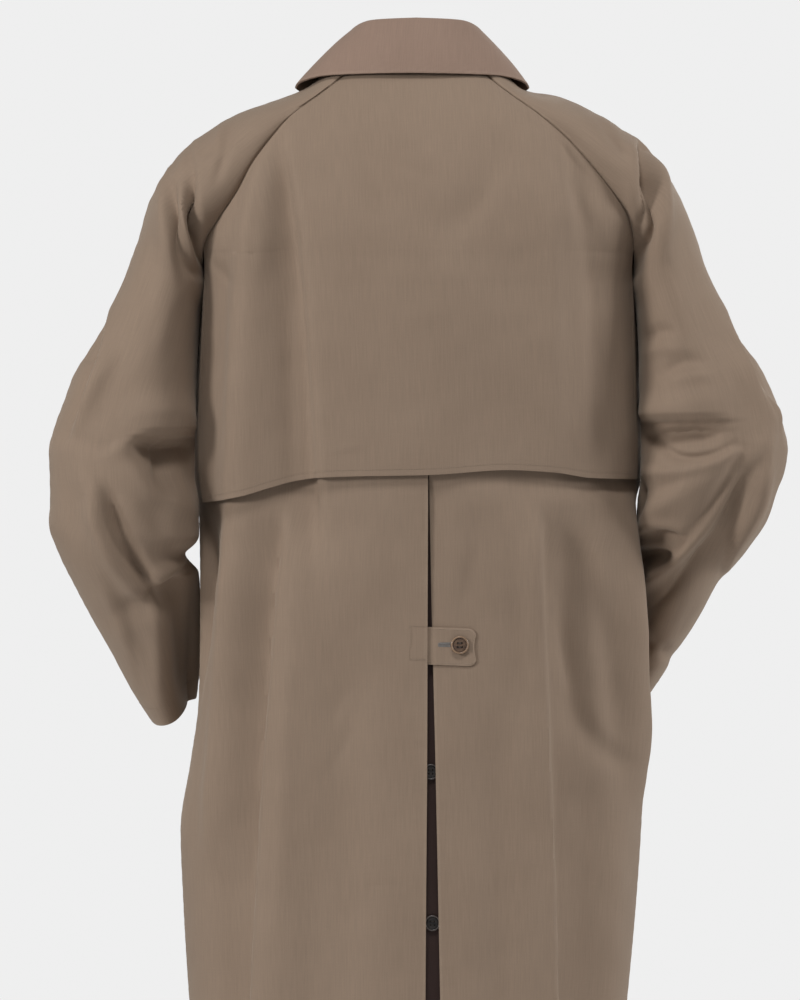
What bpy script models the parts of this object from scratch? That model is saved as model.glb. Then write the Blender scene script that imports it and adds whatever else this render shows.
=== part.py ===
"""Worn raglan overcoat with a back cape, a centre-back vent and a buttoned vent tab.

Metres, +Z up.  The origin is the middle of the neck, level with the back neck seam.
The coat's back faces -Y, its front +Y, and the wearer's left side is at -X.
Every cloth piece is a grid of outer points with a wall turned inwards from it.
Tables are in millimetres; MM turns them into metres.
"""
from collections import namedtuple

import bmesh
import bpy
import numpy as np

MM = 0.001

# Cloth and seams
CLOTH = 2.0 * MM              # wall of the doubled cotton cloth
SEAM_GAP = 0.3 * MM           # two pieces sewn together stand this far apart
UNDER_CAPE = CLOTH + SEAM_GAP   # the back panels lie this deep below the cape's face
CAPE_LIFT = 7.0 * MM          # how far the cape's free hem hangs off the back
FRONT_LAP = 3.9 * MM          # the right front lies this deep below the left one
LAP_REACH = 36.0 * MM         # each front reaches this far past the centre front

# Vent and tab at the centre back
VENT_TOP = -0.478             # the vent opens here, just under the cape's hem
VENT_STEP = 4.8 * MM          # the right panel's vent edge lies this deep
VENT_FADE = 45.0 * MM         # and comes back to the surface over this width
UNDERLAY_DEPTH = 11.2 * MM    # bottom of the pleat behind the vent
UNDERLAY_LEFT = -32.0 * MM
UNDERLAY_RIGHT = 78.0 * MM
UNDERLAY_TOP = -0.452
HEM_Z = -1.147                # the coat's hem, below the neck seam
TAB_TOP = -0.652
TAB_DEPTH = 43.0 * MM         # height of the tab
TAB_ROOT = -9.0 * MM          # sewn end, hidden under the left panel
TAB_TIP = 66.0 * MM
TAB_CORNER = 9.0 * MM

# Counts of grid columns
BACK_COLUMNS = 12
FRONT_COLUMNS = 8
LAP_COLUMNS = 3
SLEEVE_COLUMNS = 9
YOKE_ROWS = 12
ARM_ROWS = 17
BODY_ROWS = 20
FALL_COLUMNS = 36
BUTTON_SIDES = 20

# Upper back: a row for each point where the raglan seam is sampled, neck to armpit.
YokeRow = namedtuple("YokeRow", "seam_z left_x right_x seam_y mid_z mid_y round_deg")
BACK_YOKE = [
    YokeRow(1, -58, 54, -47, 0, -70, 55),
    YokeRow(-23, -86.8, 80.5, -62, -24, -86, 50),
    YokeRow(-45, -115.7, 109, -74, -48, -101, 48),
    YokeRow(-67, -145, 139.5, -83, -72, -114, 48),
    YokeRow(-93, -167.9, 169.5, -90, -98, -126, 50),
    YokeRow(-124, -190.9, 197.5, -93, -127, -137, 54),
    YokeRow(-155, -207.5, 222, -90, -157, -146, 60),
    YokeRow(-185, -227.7, 241, -80, -186, -152, 66),
    YokeRow(-211, -243, 246.5, -63, -211, -156, 72),
    YokeRow(-224, -246, 247, -50, -224, -157, 76),
    YokeRow(-238, -246, 246.5, -34, -238, -158, 80),
    YokeRow(-251, -243.5, 244, -17, -251, -159, 85),
    YokeRow(-262, -240, 241, 0, -262, -160, 90),
]
FRONT_YOKE = [
    YokeRow(-22, -60, 56, 44, -72, 80, 58),
    YokeRow(-40, -82, 76, 62, -88, 92, 52),
    YokeRow(-59, -106, 99, 75, -104, 103, 50),
    YokeRow(-80, -131, 126, 86, -121, 113, 50),
    YokeRow(-103, -152, 152, 93, -138, 121, 52),
    YokeRow(-130, -174, 178, 96, -158, 128, 56),
    YokeRow(-158, -193, 202, 93, -179, 134, 62),
    YokeRow(-186, -212, 221, 82, -200, 139, 68),
    YokeRow(-211, -229, 233, 64, -220, 143, 73),
    YokeRow(-224, -236, 238, 51, -231, 145, 77),
    YokeRow(-238, -240, 241, 35, -242, 147, 81),
    YokeRow(-251, -241, 242, 18, -253, 149, 85),
    YokeRow(-262, -240, 241, 0, -262, 150, 90),
]
CAPE_LEAVES_SEAM = 9          # the cape's side edge hangs free below this row

# Body tube below the armpits; left_y and right_y are how far forward the side seams lie
BodyRow = namedtuple("BodyRow", "z left_x right_x left_y right_y back_y front_y")
BODY = [
    BodyRow(-262, -240, 241, 0, 0, -160, 150),
    BodyRow(-280, -246, 246.5, 7, 7, -161, 152),
    BodyRow(-300, -250, 250, 15, 15, -162, 155),
    BodyRow(-330, -253.5, 253.5, 24, 24, -162, 157),
    BodyRow(-380, -255.5, 255.5, 30, 30, -161, 160),
    BodyRow(-450, -256.5, 256.5, 30, 28, -160, 164),
    BodyRow(-480, -256, 256, 27, 18, -159, 165),
    BodyRow(-512, -249.5, 248, 10, -40, -158, 166),
    BodyRow(-554, -249.5, 254, -10, -58, -156, 168),
    BodyRow(-600, -250, 259.5, -46, -56, -156, 171),
    BodyRow(-629, -250, 261.5, -50, -50, -156, 173),
    BodyRow(-692, -250.5, 263, -42, -34, -158, 178),
    BodyRow(-740, -252, 262, -30, -22, -160, 181),
    BodyRow(-807, -261, 260, -14, -10, -164, 186),
    BodyRow(-888, -273, 256.5, 0, 0, -169, 191),
    BodyRow(-968, -270, 251, 0, 0, -174, 196),
    BodyRow(-1083, -263, 240.5, 0, 0, -181, 203),
    BodyRow(-1147, -258, 234, 0, 0, -185, 207),
]

# Centre-back line and the right panel's vent edge
VentRow = namedtuple("VentRow", "z left_edge_x right_edge_x")
VENT = [
    VentRow(0, -2, -1.7),
    VentRow(-160, 3, 3.3),
    VentRow(-320, 8, 8.3),
    VentRow(-478, 11.5, 12.2),
    VentRow(-623, 11, 15),
    VentRow(-807, 10.4, 19.6),
    VentRow(-968, 9.2, 23),
    VentRow(-1147, 8, 26.5),
]

# Cape: free side edges and hem
CapeSide = namedtuple("CapeSide", "z left_x right_x")
CAPE_SIDES = [
    CapeSide(-224, -246, 247),
    CapeSide(-250, -244.5, 245),
    CapeSide(-300, -246.5, 246.5),
    CapeSide(-393, -250.5, 249),
    CapeSide(-436, -252, 250),
    CapeSide(-467, -251.5, 251),
    CapeSide(-512, -246.5, 250.5),
]
CapeHem = namedtuple("CapeHem", "x z")
CAPE_HEM = [
    CapeHem(-250, -512), CapeHem(-194, -503.5), CapeHem(-165, -493.5), CapeHem(-141, -486.5),
    CapeHem(-100, -482), CapeHem(14, -479.5), CapeHem(101, -474), CapeHem(150, -476.5),
    CapeHem(196, -483), CapeHem(252, -484.5),
]
CAPE_ROWS_BELOW = 9

# Sleeves above the armpit: the overarm line, and how deep the shoulder is each way
OverarmRow = namedtuple("OverarmRow", "left_x left_z right_x right_z back_deep front_deep")
OVERARM = [
    OverarmRow(-78, 3, 74, 4, 47, 44),
    OverarmRow(-103, -17, 97, -15, 62, 62),
    OverarmRow(-131, -37, 124, -37.5, 74, 75),
    OverarmRow(-165, -49, 158, -44, 83, 86),
    OverarmRow(-205, -64, 198, -61, 92, 95),
    OverarmRow(-240, -84, 230, -80, 96, 99),
    OverarmRow(-268, -105, 256, -95, 98, 101),
    OverarmRow(-290, -131, 277, -121, 99, 101),
    OverarmRow(-304, -155, 293, -145, 99, 100),
    OverarmRow(-310.5, -169, 301, -160, 98, 99),
    OverarmRow(-316, -188, 307, -174, 97, 98),
    OverarmRow(-321, -207, 314, -192, 96, 97),
    OverarmRow(-328, -226.5, 322, -214, 95, 96),
]
ARMPIT_CLEAR = 1.2 * MM       # the underarm stands this far off the body's side

# Sleeves below the armpit: outer and inner outline seen from behind, depth, tilt
SleeveRow = namedtuple("SleeveRow", "out_x out_z in_x in_z mid_y deep tilt")
LEFT_SLEEVE = [
    SleeveRow(-340.5, -262, -249.5, -291, -6, 94, 0),
    SleeveRow(-356.5, -300, -252.5, -325, -13, 93, 0),
    SleeveRow(-377, -335, -253.8, -358, -20, 92, 0),
    SleeveRow(-395.5, -365, -254.5, -388, -27, 92, 0),
    SleeveRow(-406, -394, -255, -415, -33, 92, 0),
    SleeveRow(-417, -424, -256, -437, -38, 92, 0),
    SleeveRow(-423.5, -452, -256, -458, -42, 91, 0),
    SleeveRow(-422.5, -480, -256, -480, -46, 90, 0),
    SleeveRow(-422, -508, -251.5, -512, -48, 88, 0),
    SleeveRow(-423.5, -535, -251, -549, -46, 86, 2),
    SleeveRow(-412, -570, -267, -570, -39, 83, 5),
    SleeveRow(-394.5, -606, -251.5, -593, -27, 79, 8),
    SleeveRow(-376, -641.5, -250, -628, -6, 76, 11),
    SleeveRow(-356.5, -675, -250, -663, 16, 73, 14),
    SleeveRow(-337, -710, -251, -697, 38, 70, 16),
    SleeveRow(-320, -739.5, -253.5, -722, 56, 68, 18),
    SleeveRow(-308.5, -758, -255.5, -737, 68, 66, 18),
]
RIGHT_SLEEVE = [
    SleeveRow(333, -250, 249.5, -291, -6, 94, 0),
    SleeveRow(347, -284, 252.5, -325, -13, 93, 0),
    SleeveRow(368, -322, 253.8, -358, -19, 92, 0),
    SleeveRow(393, -356, 254.5, -388, -25, 92, 0),
    SleeveRow(408.5, -390, 255, -415, -29, 92, 0),
    SleeveRow(418.5, -421, 255.5, -438, -32, 92, 0),
    SleeveRow(424.5, -449, 255.5, -462, -33, 91, 0),
    SleeveRow(421, -474, 255, -486, -32, 89, 0),
    SleeveRow(411.5, -500, 252, -510, -26, 87, 1),
    SleeveRow(400.5, -531, 251, -534, -14, 84, 3),
    SleeveRow(378, -558, 252.5, -560, 2, 81, 6),
    SleeveRow(355, -584, 254, -586, 20, 77, 9),
    SleeveRow(338.5, -613, 254, -612, 44, 74, 12),
    SleeveRow(322, -640, 253, -640, 76, 71, 15),
    SleeveRow(306, -668, 249, -668, 105, 68, 18),
    SleeveRow(284, -704, 233, -698, 131, 65, 20),
    SleeveRow(267.5, -729, 220, -720, 148, 63, 20),
]

# Collar: the stand rises to the roll line, the fall turns over it and down
RingSpec = namedtuple("RingSpec", "mid_x half_x mid_y back_y front_y end_deg")
ROLL_LINE = RingSpec(-2, 70, 5, -62, 70, 176)
FALL_EDGE = RingSpec(-6.5, 135, 7, -93, 131, 162)
CollarRow = namedtuple("CollarRow", "turn_deg roll_z edge_z")
COLLAR = [
    CollarRow(0, 42, -19),
    CollarRow(45, 40, -21),
    CollarRow(75, 33, -28),
    CollarRow(90, 28, -33.5),
    CollarRow(100, 24, -35.5),
    CollarRow(110, 19, -37.5),
    CollarRow(120, 13, -45.5),
    CollarRow(135, 3, -71),
    CollarRow(150, -8, -99),
    CollarRow(180, -24, -129),
]
FALL_ROUND = 5.0 * MM         # radius with which the cloth turns over the roll line
FALL_BOW = 3.0 * MM           # the fall is bowed outwards by this much
FALL_ROWS = 4
STAND_END = 0.03              # radians the stand's ends stay off the centre front
STAND_OPEN = 1.0 * MM

# Large folds, seen from behind: ridges (+) and troughs (-) along a bowed line.
# left and right are the widths of its two sides where it runs down, and below and
# above it where it runs to +X; bend moves its middle to the right, or up.
Fold = namedtuple("Fold", "x0 z0 x1 z1 bend left right depth")
CAPE_FOLDS = [
    Fold(-163, -100, -140, -490, -16, 26, 9, -9),
    Fold(-200, -150, -200, -500, 4, 12, 16, 5),
    Fold(-230, -290, -232, -500, 0, 10, 12, -4),
    Fold(-122, -330, -118, -480, 0, 6, 22, 2),
    Fold(-74, -104, -36, -172, 0, 22, 22, -4),
    Fold(102, -94, 38, -204, 8, 24, 16, -5),
    Fold(148, -180, 150, -470, 0, 20, 15, 4),
    Fold(176, -104, 205, -470, 12, 14, 18, -6),
]
SKIRT_FOLDS = [
    Fold(-163, -490, -204, -1130, -6, 18, 22, -9),
    Fold(-231, -500, -256, -760, 0, 14, 4, 6),
    Fold(-243, -500, -252, -690, 0, 5, 9, -8),
    Fold(-136, -600, -176, -1130, 0, 20, 34, 5),
    Fold(-80, -700, -92, -1130, 0, 34, 34, -5),
    Fold(136, -490, 154, -1130, 4, 16, 8, 8),
    Fold(168, -500, 178, -780, 0, 14, 28, -9),
    Fold(182, -745, 238, -812, -6, 16, 12, -6),
    Fold(242, -640, 252, -840, 0, 16, 8, 4),
    Fold(195, -800, 186, -1130, 0, 26, 22, -6),
    Fold(66, -490, 54, -640, 0, 16, 20, -3),
    Fold(92, -760, 98, -1130, 0, 26, 22, -5),
]
FRONT_FOLDS = [
    Fold(-150, -300, -165, -1130, 8, 24, 20, -9),
    Fold(-95, -420, -100, -1130, 0, 26, 26, 6),
    Fold(-205, -420, -215, -1130, 0, 18, 18, 6),
    Fold(110, -320, 118, -1130, 10, 20, 26, -9),
    Fold(160, -460, 162, -1130, 0, 24, 24, 7),
    Fold(208, -520, 200, -1130, 0, 18, 18, -6),
]
LEFT_SLEEVE_FOLDS = [
    Fold(-262, -105, -247, -228, -4, 12, 5, -10),
    Fold(-266, -100, -257, -250, -8, 8, 10, 5),
    Fold(-283, -150, -262, -262, -4, 9, 9, -5),
    Fold(-294, -110, -290, -215, 0, 12, 9, 4),
    Fold(-352, -352, -388, -424, 0, 14, 6, 5),
    Fold(-318, -444, -262, -446, -2, 20, 6, -11),
    Fold(-330, -410, -262, -406, 4, 14, 20, 5),
    Fold(-366, -506, -300, -614, -14, 16, 6, -12),
    Fold(-372, -500, -304, -626, -18, 12, 10, 6),
    Fold(-286, -470, -292, -540, 0, 18, 18, -5),
    Fold(-345, -640, -262, -610, 0, 14, 14, -6),
]
RIGHT_SLEEVE_FOLDS = [
    Fold(258, -104, 250, -228, 12, 5, 9, -9),
    Fold(272, -108, 281, -226, 6, 10, 9, 5),
    Fold(256, -436, 346, -432, 4, 18, 6, -10),
    Fold(262, -404, 346, -392, 4, 14, 20, 4),
    Fold(378, -448, 318, -552, 4, 14, 18, -8),
    Fold(398, -430, 350, -572, 10, 6, 12, 5),
    Fold(372, -338, 408, -418, -4, 12, 6, 5),
    Fold(350, -470, 252, -540, -8, 12, 14, 5),
    Fold(262, -548, 300, -556, 4, 14, 8, -9),
    Fold(354, -560, 268, -628, -6, 16, 16, -7),
]

# Buttons: place seen from behind, diameter, thickness
ButtonSpec = namedtuple("ButtonSpec", "name x z across thick")
TAB_BUTTON = ButtonSpec("tab_button", 47.2, -673.9, 21.0, 3.6)
VENT_BUTTONS = [
    ButtonSpec("vent_button_upper", 14.4, -817.7, 18.5, 3.4),
    ButtonSpec("vent_button_lower", 16.4, -990.0, 18.5, 3.4),
]

# Colours (linear RGB), roughness
FINISHES = {
    "cloth": ((0.216, 0.168, 0.119), 0.86),
    "collar_cloth": ((0.225, 0.160, 0.121), 0.84),
    "vent_cloth": ((0.040, 0.023, 0.021), 0.9),
    "horn": ((0.072, 0.040, 0.026), 0.38),
    "dark_horn": ((0.018, 0.014, 0.014), 0.34),
}


def column(table, name):
    """One named column of a table, in metres."""
    return np.array([getattr(row, name) for row in table]) * MM


def glide(at, places, values):
    """Smooth, never overshooting curve through values at rising places."""
    places = np.asarray(places, float)
    values = np.asarray(values, float)
    steps = np.diff(places)
    slopes = np.diff(values) / steps
    tangents = np.zeros(len(values))
    tangents[0] = slopes[0]
    tangents[-1] = slopes[-1]
    for i in range(1, len(values) - 1):
        if slopes[i - 1] * slopes[i] > 0.0:
            ahead = 2.0 * steps[i] + steps[i - 1]
            behind = steps[i] + 2.0 * steps[i - 1]
            tangents[i] = (ahead + behind) / (ahead / slopes[i - 1] + behind / slopes[i])
    at = np.clip(np.asarray(at, float), places[0], places[-1])
    k = np.clip(np.searchsorted(places, at) - 1, 0, len(steps) - 1)
    t = (at - places[k]) / steps[k]
    h = steps[k]
    return ((1 + 2 * t) * (1 - t) ** 2 * values[k] + t * (1 - t) ** 2 * h * tangents[k]
            + t * t * (3 - 2 * t) * values[k + 1] + t * t * (t - 1) * h * tangents[k + 1])


def read(table, name, z):
    """A column of a table that runs down in z, at height z."""
    return glide(-np.asarray(z), -column(table, "z"), column(table, name))


def spread(table, name, at):
    """A column of a table at row numbers, which may lie between its rows."""
    return glide(at, np.arange(len(table)), column(table, name))


def ease(t):
    """0 to 1 with soft ends."""
    t = np.clip(t, 0.0, 1.0)
    return t * t * (3.0 - 2.0 * t)


def press(points, folds):
    """How far the folds push each point outwards (+) or inwards (-)."""
    push = np.zeros(points.shape[:-1])
    seen = points[..., [0, 2]]
    for fold in folds:
        start = np.array([fold.x0, fold.z0]) * MM
        run = np.array([fold.x1, fold.z1]) * MM - start
        length = np.linalg.norm(run)
        along = ((seen - start) @ run) / length
        across = (seen - start) @ np.array([-run[1], run[0]]) / length
        share = np.clip(along / length, 0.0, 1.0)
        across = across - 4.0 * fold.bend * MM * share * (1.0 - share)
        taper = min(0.35 * length, 60 * MM)
        ends = ease((along + taper) / (2 * taper)) * ease((length + taper - along) / (2 * taper))
        width = np.where(across > 0.0, fold.right, fold.left) * MM
        push += fold.depth * MM * ends * np.exp(-(across / width) ** 2)
    return push


def unit(vectors):
    return vectors / np.maximum(np.linalg.norm(vectors, axis=-1, keepdims=True), 1e-12)


def face_normals(points, inside):
    """Normals of a grid of points, all turned away from the points called inside."""
    across = np.gradient(points, axis=1)
    down = np.gradient(points, axis=0)
    normals = unit(np.cross(across, down))
    facing = np.sum(normals * (points - inside))
    return normals if facing > 0 else -normals


class Piece:
    """A cloth piece: rows and columns of outer points, and the wall's direction."""

    def __init__(self, name, points, inside, finish="cloth"):
        self.name = name
        self.points = points
        self.finish = finish
        self.normals = face_normals(points, inside)

    def push(self, amount):
        """Move the points along their normals and work the normals out again."""
        moved = self.points + self.normals * np.asarray(amount)[..., None]
        inside = moved - self.normals
        self.points = moved
        self.normals = face_normals(moved, inside)


def edge_of(piece, edge, first=0, last=None):
    """Index of a run of an edge: left, right, top or bottom."""
    run = slice(first, last)
    return {"left": (run, 0), "right": (run, -1), "top": (0, run), "bottom": (-1, run)}[edge]


def sew(piece_a, run_a, piece_b, run_b):
    """Give two edges the same points, and the same wall direction where they lie flat."""
    middle = (piece_a.points[run_a] + piece_b.points[run_b]) / 2
    piece_a.points[run_a] = middle
    piece_b.points[run_b] = middle
    normal_a = piece_a.normals[run_a].copy()
    normal_b = piece_b.normals[run_b].copy()
    flat = np.sum(normal_a * normal_b, axis=-1, keepdims=True) > 0.3
    shared = unit(normal_a + normal_b)
    piece_a.normals[run_a] = np.where(flat, shared, normal_a)
    piece_b.normals[run_b] = np.where(flat, shared, normal_b)


def draw_back(piece, edges, gap=SEAM_GAP / 2):
    """Pull the named edges back from the seam by half its gap."""
    moved = piece.points.copy()
    steps = {"left": (np.s_[:, 0], np.s_[:, 1]), "right": (np.s_[:, -1], np.s_[:, -2]),
             "top": (np.s_[0, :], np.s_[1, :]), "bottom": (np.s_[-1, :], np.s_[-2, :])}
    for edge in edges:
        here, next_in = steps[edge]
        moved[here] += gap * unit(piece.points[next_in] - piece.points[here])
    piece.points = moved


def remove_all():
    for obj in list(bpy.data.objects):
        bpy.data.objects.remove(obj, do_unlink=True)


def finish_of(name):
    """The Principled material of a finish, made once."""
    material = bpy.data.materials.get(name)
    if material is None:
        colour, roughness = FINISHES[name]
        material = bpy.data.materials.new(name)
        material.use_nodes = True
        shader = material.node_tree.nodes["Principled BSDF"]
        shader.inputs["Base Color"].default_value = (*colour, 1.0)
        shader.inputs["Roughness"].default_value = roughness
        shader.inputs["Metallic"].default_value = 0.0
    return material


def add_object(name, mesh, finish):
    mesh.materials.append(finish_of(finish))
    obj = bpy.data.objects.new(name, mesh)
    bpy.context.scene.collection.objects.link(obj)
    return obj


def make_wall(piece, thick=CLOTH):
    """Close a piece's grid into a solid wall whose inner face lies along its normals."""
    outer = piece.points
    inner = outer - piece.normals * thick
    rows, cols = outer.shape[:2]
    mesh = bpy.data.meshes.new(piece.name)
    form = bmesh.new()
    face_a = [[form.verts.new(outer[r, c]) for c in range(cols)] for r in range(rows)]
    face_b = [[form.verts.new(inner[r, c]) for c in range(cols)] for r in range(rows)]
    for r in range(rows - 1):
        for c in range(cols - 1):
            form.faces.new((face_a[r][c], face_a[r][c + 1], face_a[r + 1][c + 1], face_a[r + 1][c]))
            form.faces.new((face_b[r][c], face_b[r + 1][c], face_b[r + 1][c + 1], face_b[r][c + 1]))
    rim = ([(0, c) for c in range(cols)] + [(r, cols - 1) for r in range(1, rows)]
           + [(rows - 1, c) for c in range(cols - 2, -1, -1)]
           + [(r, 0) for r in range(rows - 2, 0, -1)])
    for (r0, c0), (r1, c1) in zip(rim, rim[1:] + rim[:1]):
        form.faces.new((face_a[r0][c0], face_b[r0][c0], face_b[r1][c1], face_a[r1][c1]))
    bmesh.ops.triangulate(form, faces=form.faces, quad_method="SHORT_EDGE")
    bmesh.ops.recalc_face_normals(form, faces=form.faces)
    if form.calc_volume(signed=True) < 0.0:
        bmesh.ops.reverse_faces(form, faces=form.faces)
    form.to_mesh(mesh)
    form.free()
    mesh.shade_smooth()
    mesh.set_sharp_from_angle(angle=0.9)
    return add_object(piece.name, mesh, piece.finish)


def tube_heights():
    """Heights of the body's rows below the armpits, a little closer near them."""
    start = BODY[0].z * MM
    return start + (HEM_Z - start) * np.linspace(0.0, 1.0, BODY_ROWS + 1)[1:] ** 1.15


def half_rows(yoke, side, edge_y, mid_x_of, start_x_of, columns, lapping=False):
    """Grid of half the back or front, from its middle edge out to the seam.

    Each row is an arc of an ellipse: round_deg says how much of a quarter turn it is.
    """
    at = np.linspace(0, len(yoke) - 1, YOKE_ROWS + 1)
    tube_z = tube_heights()
    seam_x = np.concatenate([spread(yoke, side + "_x", at), read(BODY, side + "_x", tube_z)])
    seam_y = np.concatenate([spread(yoke, "seam_y", at), read(BODY, side + "_y", tube_z)])
    seam_z = np.concatenate([spread(yoke, "seam_z", at), tube_z])
    mid_y = np.concatenate([spread(yoke, "mid_y", at), read(BODY, edge_y, tube_z)])
    mid_z = np.concatenate([spread(yoke, "mid_z", at), tube_z])
    turn = np.radians(np.concatenate([spread(yoke, "round_deg", at) / MM, 90 + 0 * tube_z]))
    grid = []
    for sx, sy, sz, my, mz, full in zip(seam_x, seam_y, seam_z, mid_y, mid_z, turn):
        mx = float(mid_x_of(mz))
        reach = (float(start_x_of(mz)) - mx) / (sx - mx) * np.sin(full)
        first = np.arcsin(np.clip(reach, -0.9, 0.9))
        angles = first + (full - first) * np.linspace(0.0, 1.0, columns + 1)
        if lapping:
            lap = np.linspace(first, 0.0, LAP_COLUMNS + 1)[:-1]
            angles = np.concatenate([lap, full * np.linspace(0.0, 1.0, columns + 1)])
        level = (np.cos(angles) - np.cos(full)) / (1.0 - np.cos(full))
        x = mx + (sx - mx) * np.sin(angles) / np.sin(full)
        y = sy + (my - sy) * level
        z = sz + (mz - sz) * level
        grid.append(np.stack([x, y, z], axis=-1))
    return np.array(grid)


def centre_back(z):
    return read(VENT, "left_edge_x", z)


def vent_edge(z):
    return read(VENT, "right_edge_x", z)


def vent_step(points):
    """The right panel dips towards its vent edge so that the tab lies over it."""
    into = (points[..., 0] - vent_edge(points[..., 2])) / VENT_FADE
    opens = ease((VENT_TOP + 0.06 - points[..., 2]) / 0.10)
    return -VENT_STEP * (1.0 - ease(into)) * opens


def back_folds(points):
    """Cape folds on top, fading into the skirt's folds below the cape's hem."""
    upper = 1.0 - ease((-0.40 - points[..., 2]) / 0.10)
    lower = ease((-0.455 - points[..., 2]) / 0.07)
    return press(points, CAPE_FOLDS) * upper + press(points, SKIRT_FOLDS) * lower


def under_cape(points):
    """Depth of the back panels below the cape, back to the surface below its seam."""
    rows = np.arange(points.shape[0])
    sunk = np.where(rows <= CAPE_LEAVES_SEAM, 1.0, 0.0)
    sunk[CAPE_LEAVES_SEAM + 1] = 0.5
    side = np.linspace(0.0, 1.0, points.shape[1])
    inward = ease((0.9 - side) / 0.3)
    free = ease((-0.224 - points[..., 2]) / 0.14)
    depth = np.maximum(sunk[:, None], inward[None, :] * (1.0 - free))
    return -UNDER_CAPE * depth


def seam_quiet(points, first=0.0, last=0.12):
    """0 at the outer column's seam, 1 a little way in, so folds end at the seam."""
    side = np.linspace(1.0, 0.0, points.shape[1])
    return ease((side - first) / (last - first))[None, :]


def back_panel(side):
    """Half of the back, from the centre back to the raglan seam and the side seam."""
    start = centre_back if side == "left" else vent_edge
    points = half_rows(BACK_YOKE, side, "back_y", centre_back, start, BACK_COLUMNS)
    piece = Piece("back_" + side, points, points * [0.2, 0.0, 1.0])
    drop = back_folds(points) * seam_quiet(points) + under_cape(points)
    if side == "right":
        drop = drop + vent_step(points)
    piece.push(drop)
    return piece


def front_panel(side):
    """Half of the front, reaching past the centre front to lap the other half."""
    beyond = LAP_REACH if side == "left" else -LAP_REACH
    points = half_rows(FRONT_YOKE, side, "front_y", lambda z: 0.0, lambda z: beyond,
                       FRONT_COLUMNS, lapping=True)
    piece = Piece("front_" + side, points, points * [0.2, 0.0, 1.0])
    quiet = seam_quiet(points) * ease((np.abs(points[..., 0]) - 0.04) / 0.04)
    drop = press(points, FRONT_FOLDS) * quiet
    if side == "right":
        lapped = 1.0 - ease((points[..., 0] - LAP_REACH - 0.008) / 0.03)
        drop = drop - FRONT_LAP * lapped
    piece.push(drop)
    return piece


def cape_half(side):
    """Half of the cape: on the seam above, hanging free below."""
    grid = half_rows(BACK_YOKE, side, "back_y", centre_back, centre_back, BACK_COLUMNS)
    upper = grid[:CAPE_LEAVES_SEAM + 1]
    corner_z = CAPE_SIDES[-1].z * MM
    rows = []
    top_z = BACK_YOKE[CAPE_LEAVES_SEAM].seam_z * MM
    hem_x = column(CAPE_HEM, "x")
    hem_z = column(CAPE_HEM, "z")
    for step in np.linspace(0.0, 1.0, CAPE_ROWS_BELOW + 1)[1:]:
        z_edge = top_z + (corner_z - top_z) * step
        half = abs(float(read(BODY, side + "_x", min(z_edge, BODY[0].z * MM))))
        edge_x = float(read(CAPE_SIDES, side + "_x", z_edge))
        wide = max(half, abs(edge_x) / 0.965)
        full = np.arcsin(abs(edge_x) / wide)
        mx = float(centre_back(z_edge))
        angles = full * np.linspace(0.0, 1.0, BACK_COLUMNS + 1)
        x = mx + (edge_x - mx) * np.sin(angles) / np.sin(full)
        z = top_z + (glide(x, hem_x, hem_z) - top_z) * step
        back = read(BODY, "back_y", np.minimum(z, BODY[0].z * MM))
        y = back * np.cos(angles)
        rows.append(np.stack([x, y, z], axis=-1))
    return np.concatenate([upper, np.array(rows)])


def cape():
    """The cape: one piece over both back panels, from the neck to its own hem."""
    left = cape_half("left")
    right = cape_half("right")
    points = np.concatenate([left[:, ::-1], right[:, 1:]], axis=1)
    piece = Piece("cape", points, points * [0.2, 0.0, 1.0])
    rows = points.shape[0]
    row_at = np.arange(rows)[:, None] / (rows - 1)
    across = np.abs(np.linspace(-1.0, 1.0, points.shape[1]))[None, :]
    on_seam = (np.arange(rows) <= CAPE_LEAVES_SEAM)[:, None]
    held = ease((across - 0.75) / 0.25) * np.where(on_seam, 1.0, 0.8)
    lift = (CAPE_LIFT * ease(row_at * 1.6) + 1.0 * MM * ease(row_at * 8)) * (1.0 - held)
    quiet = 1.0 - ease((across - 0.9) / 0.1)
    piece.push(press(points, CAPE_FOLDS) * quiet + lift)
    return piece


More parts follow.
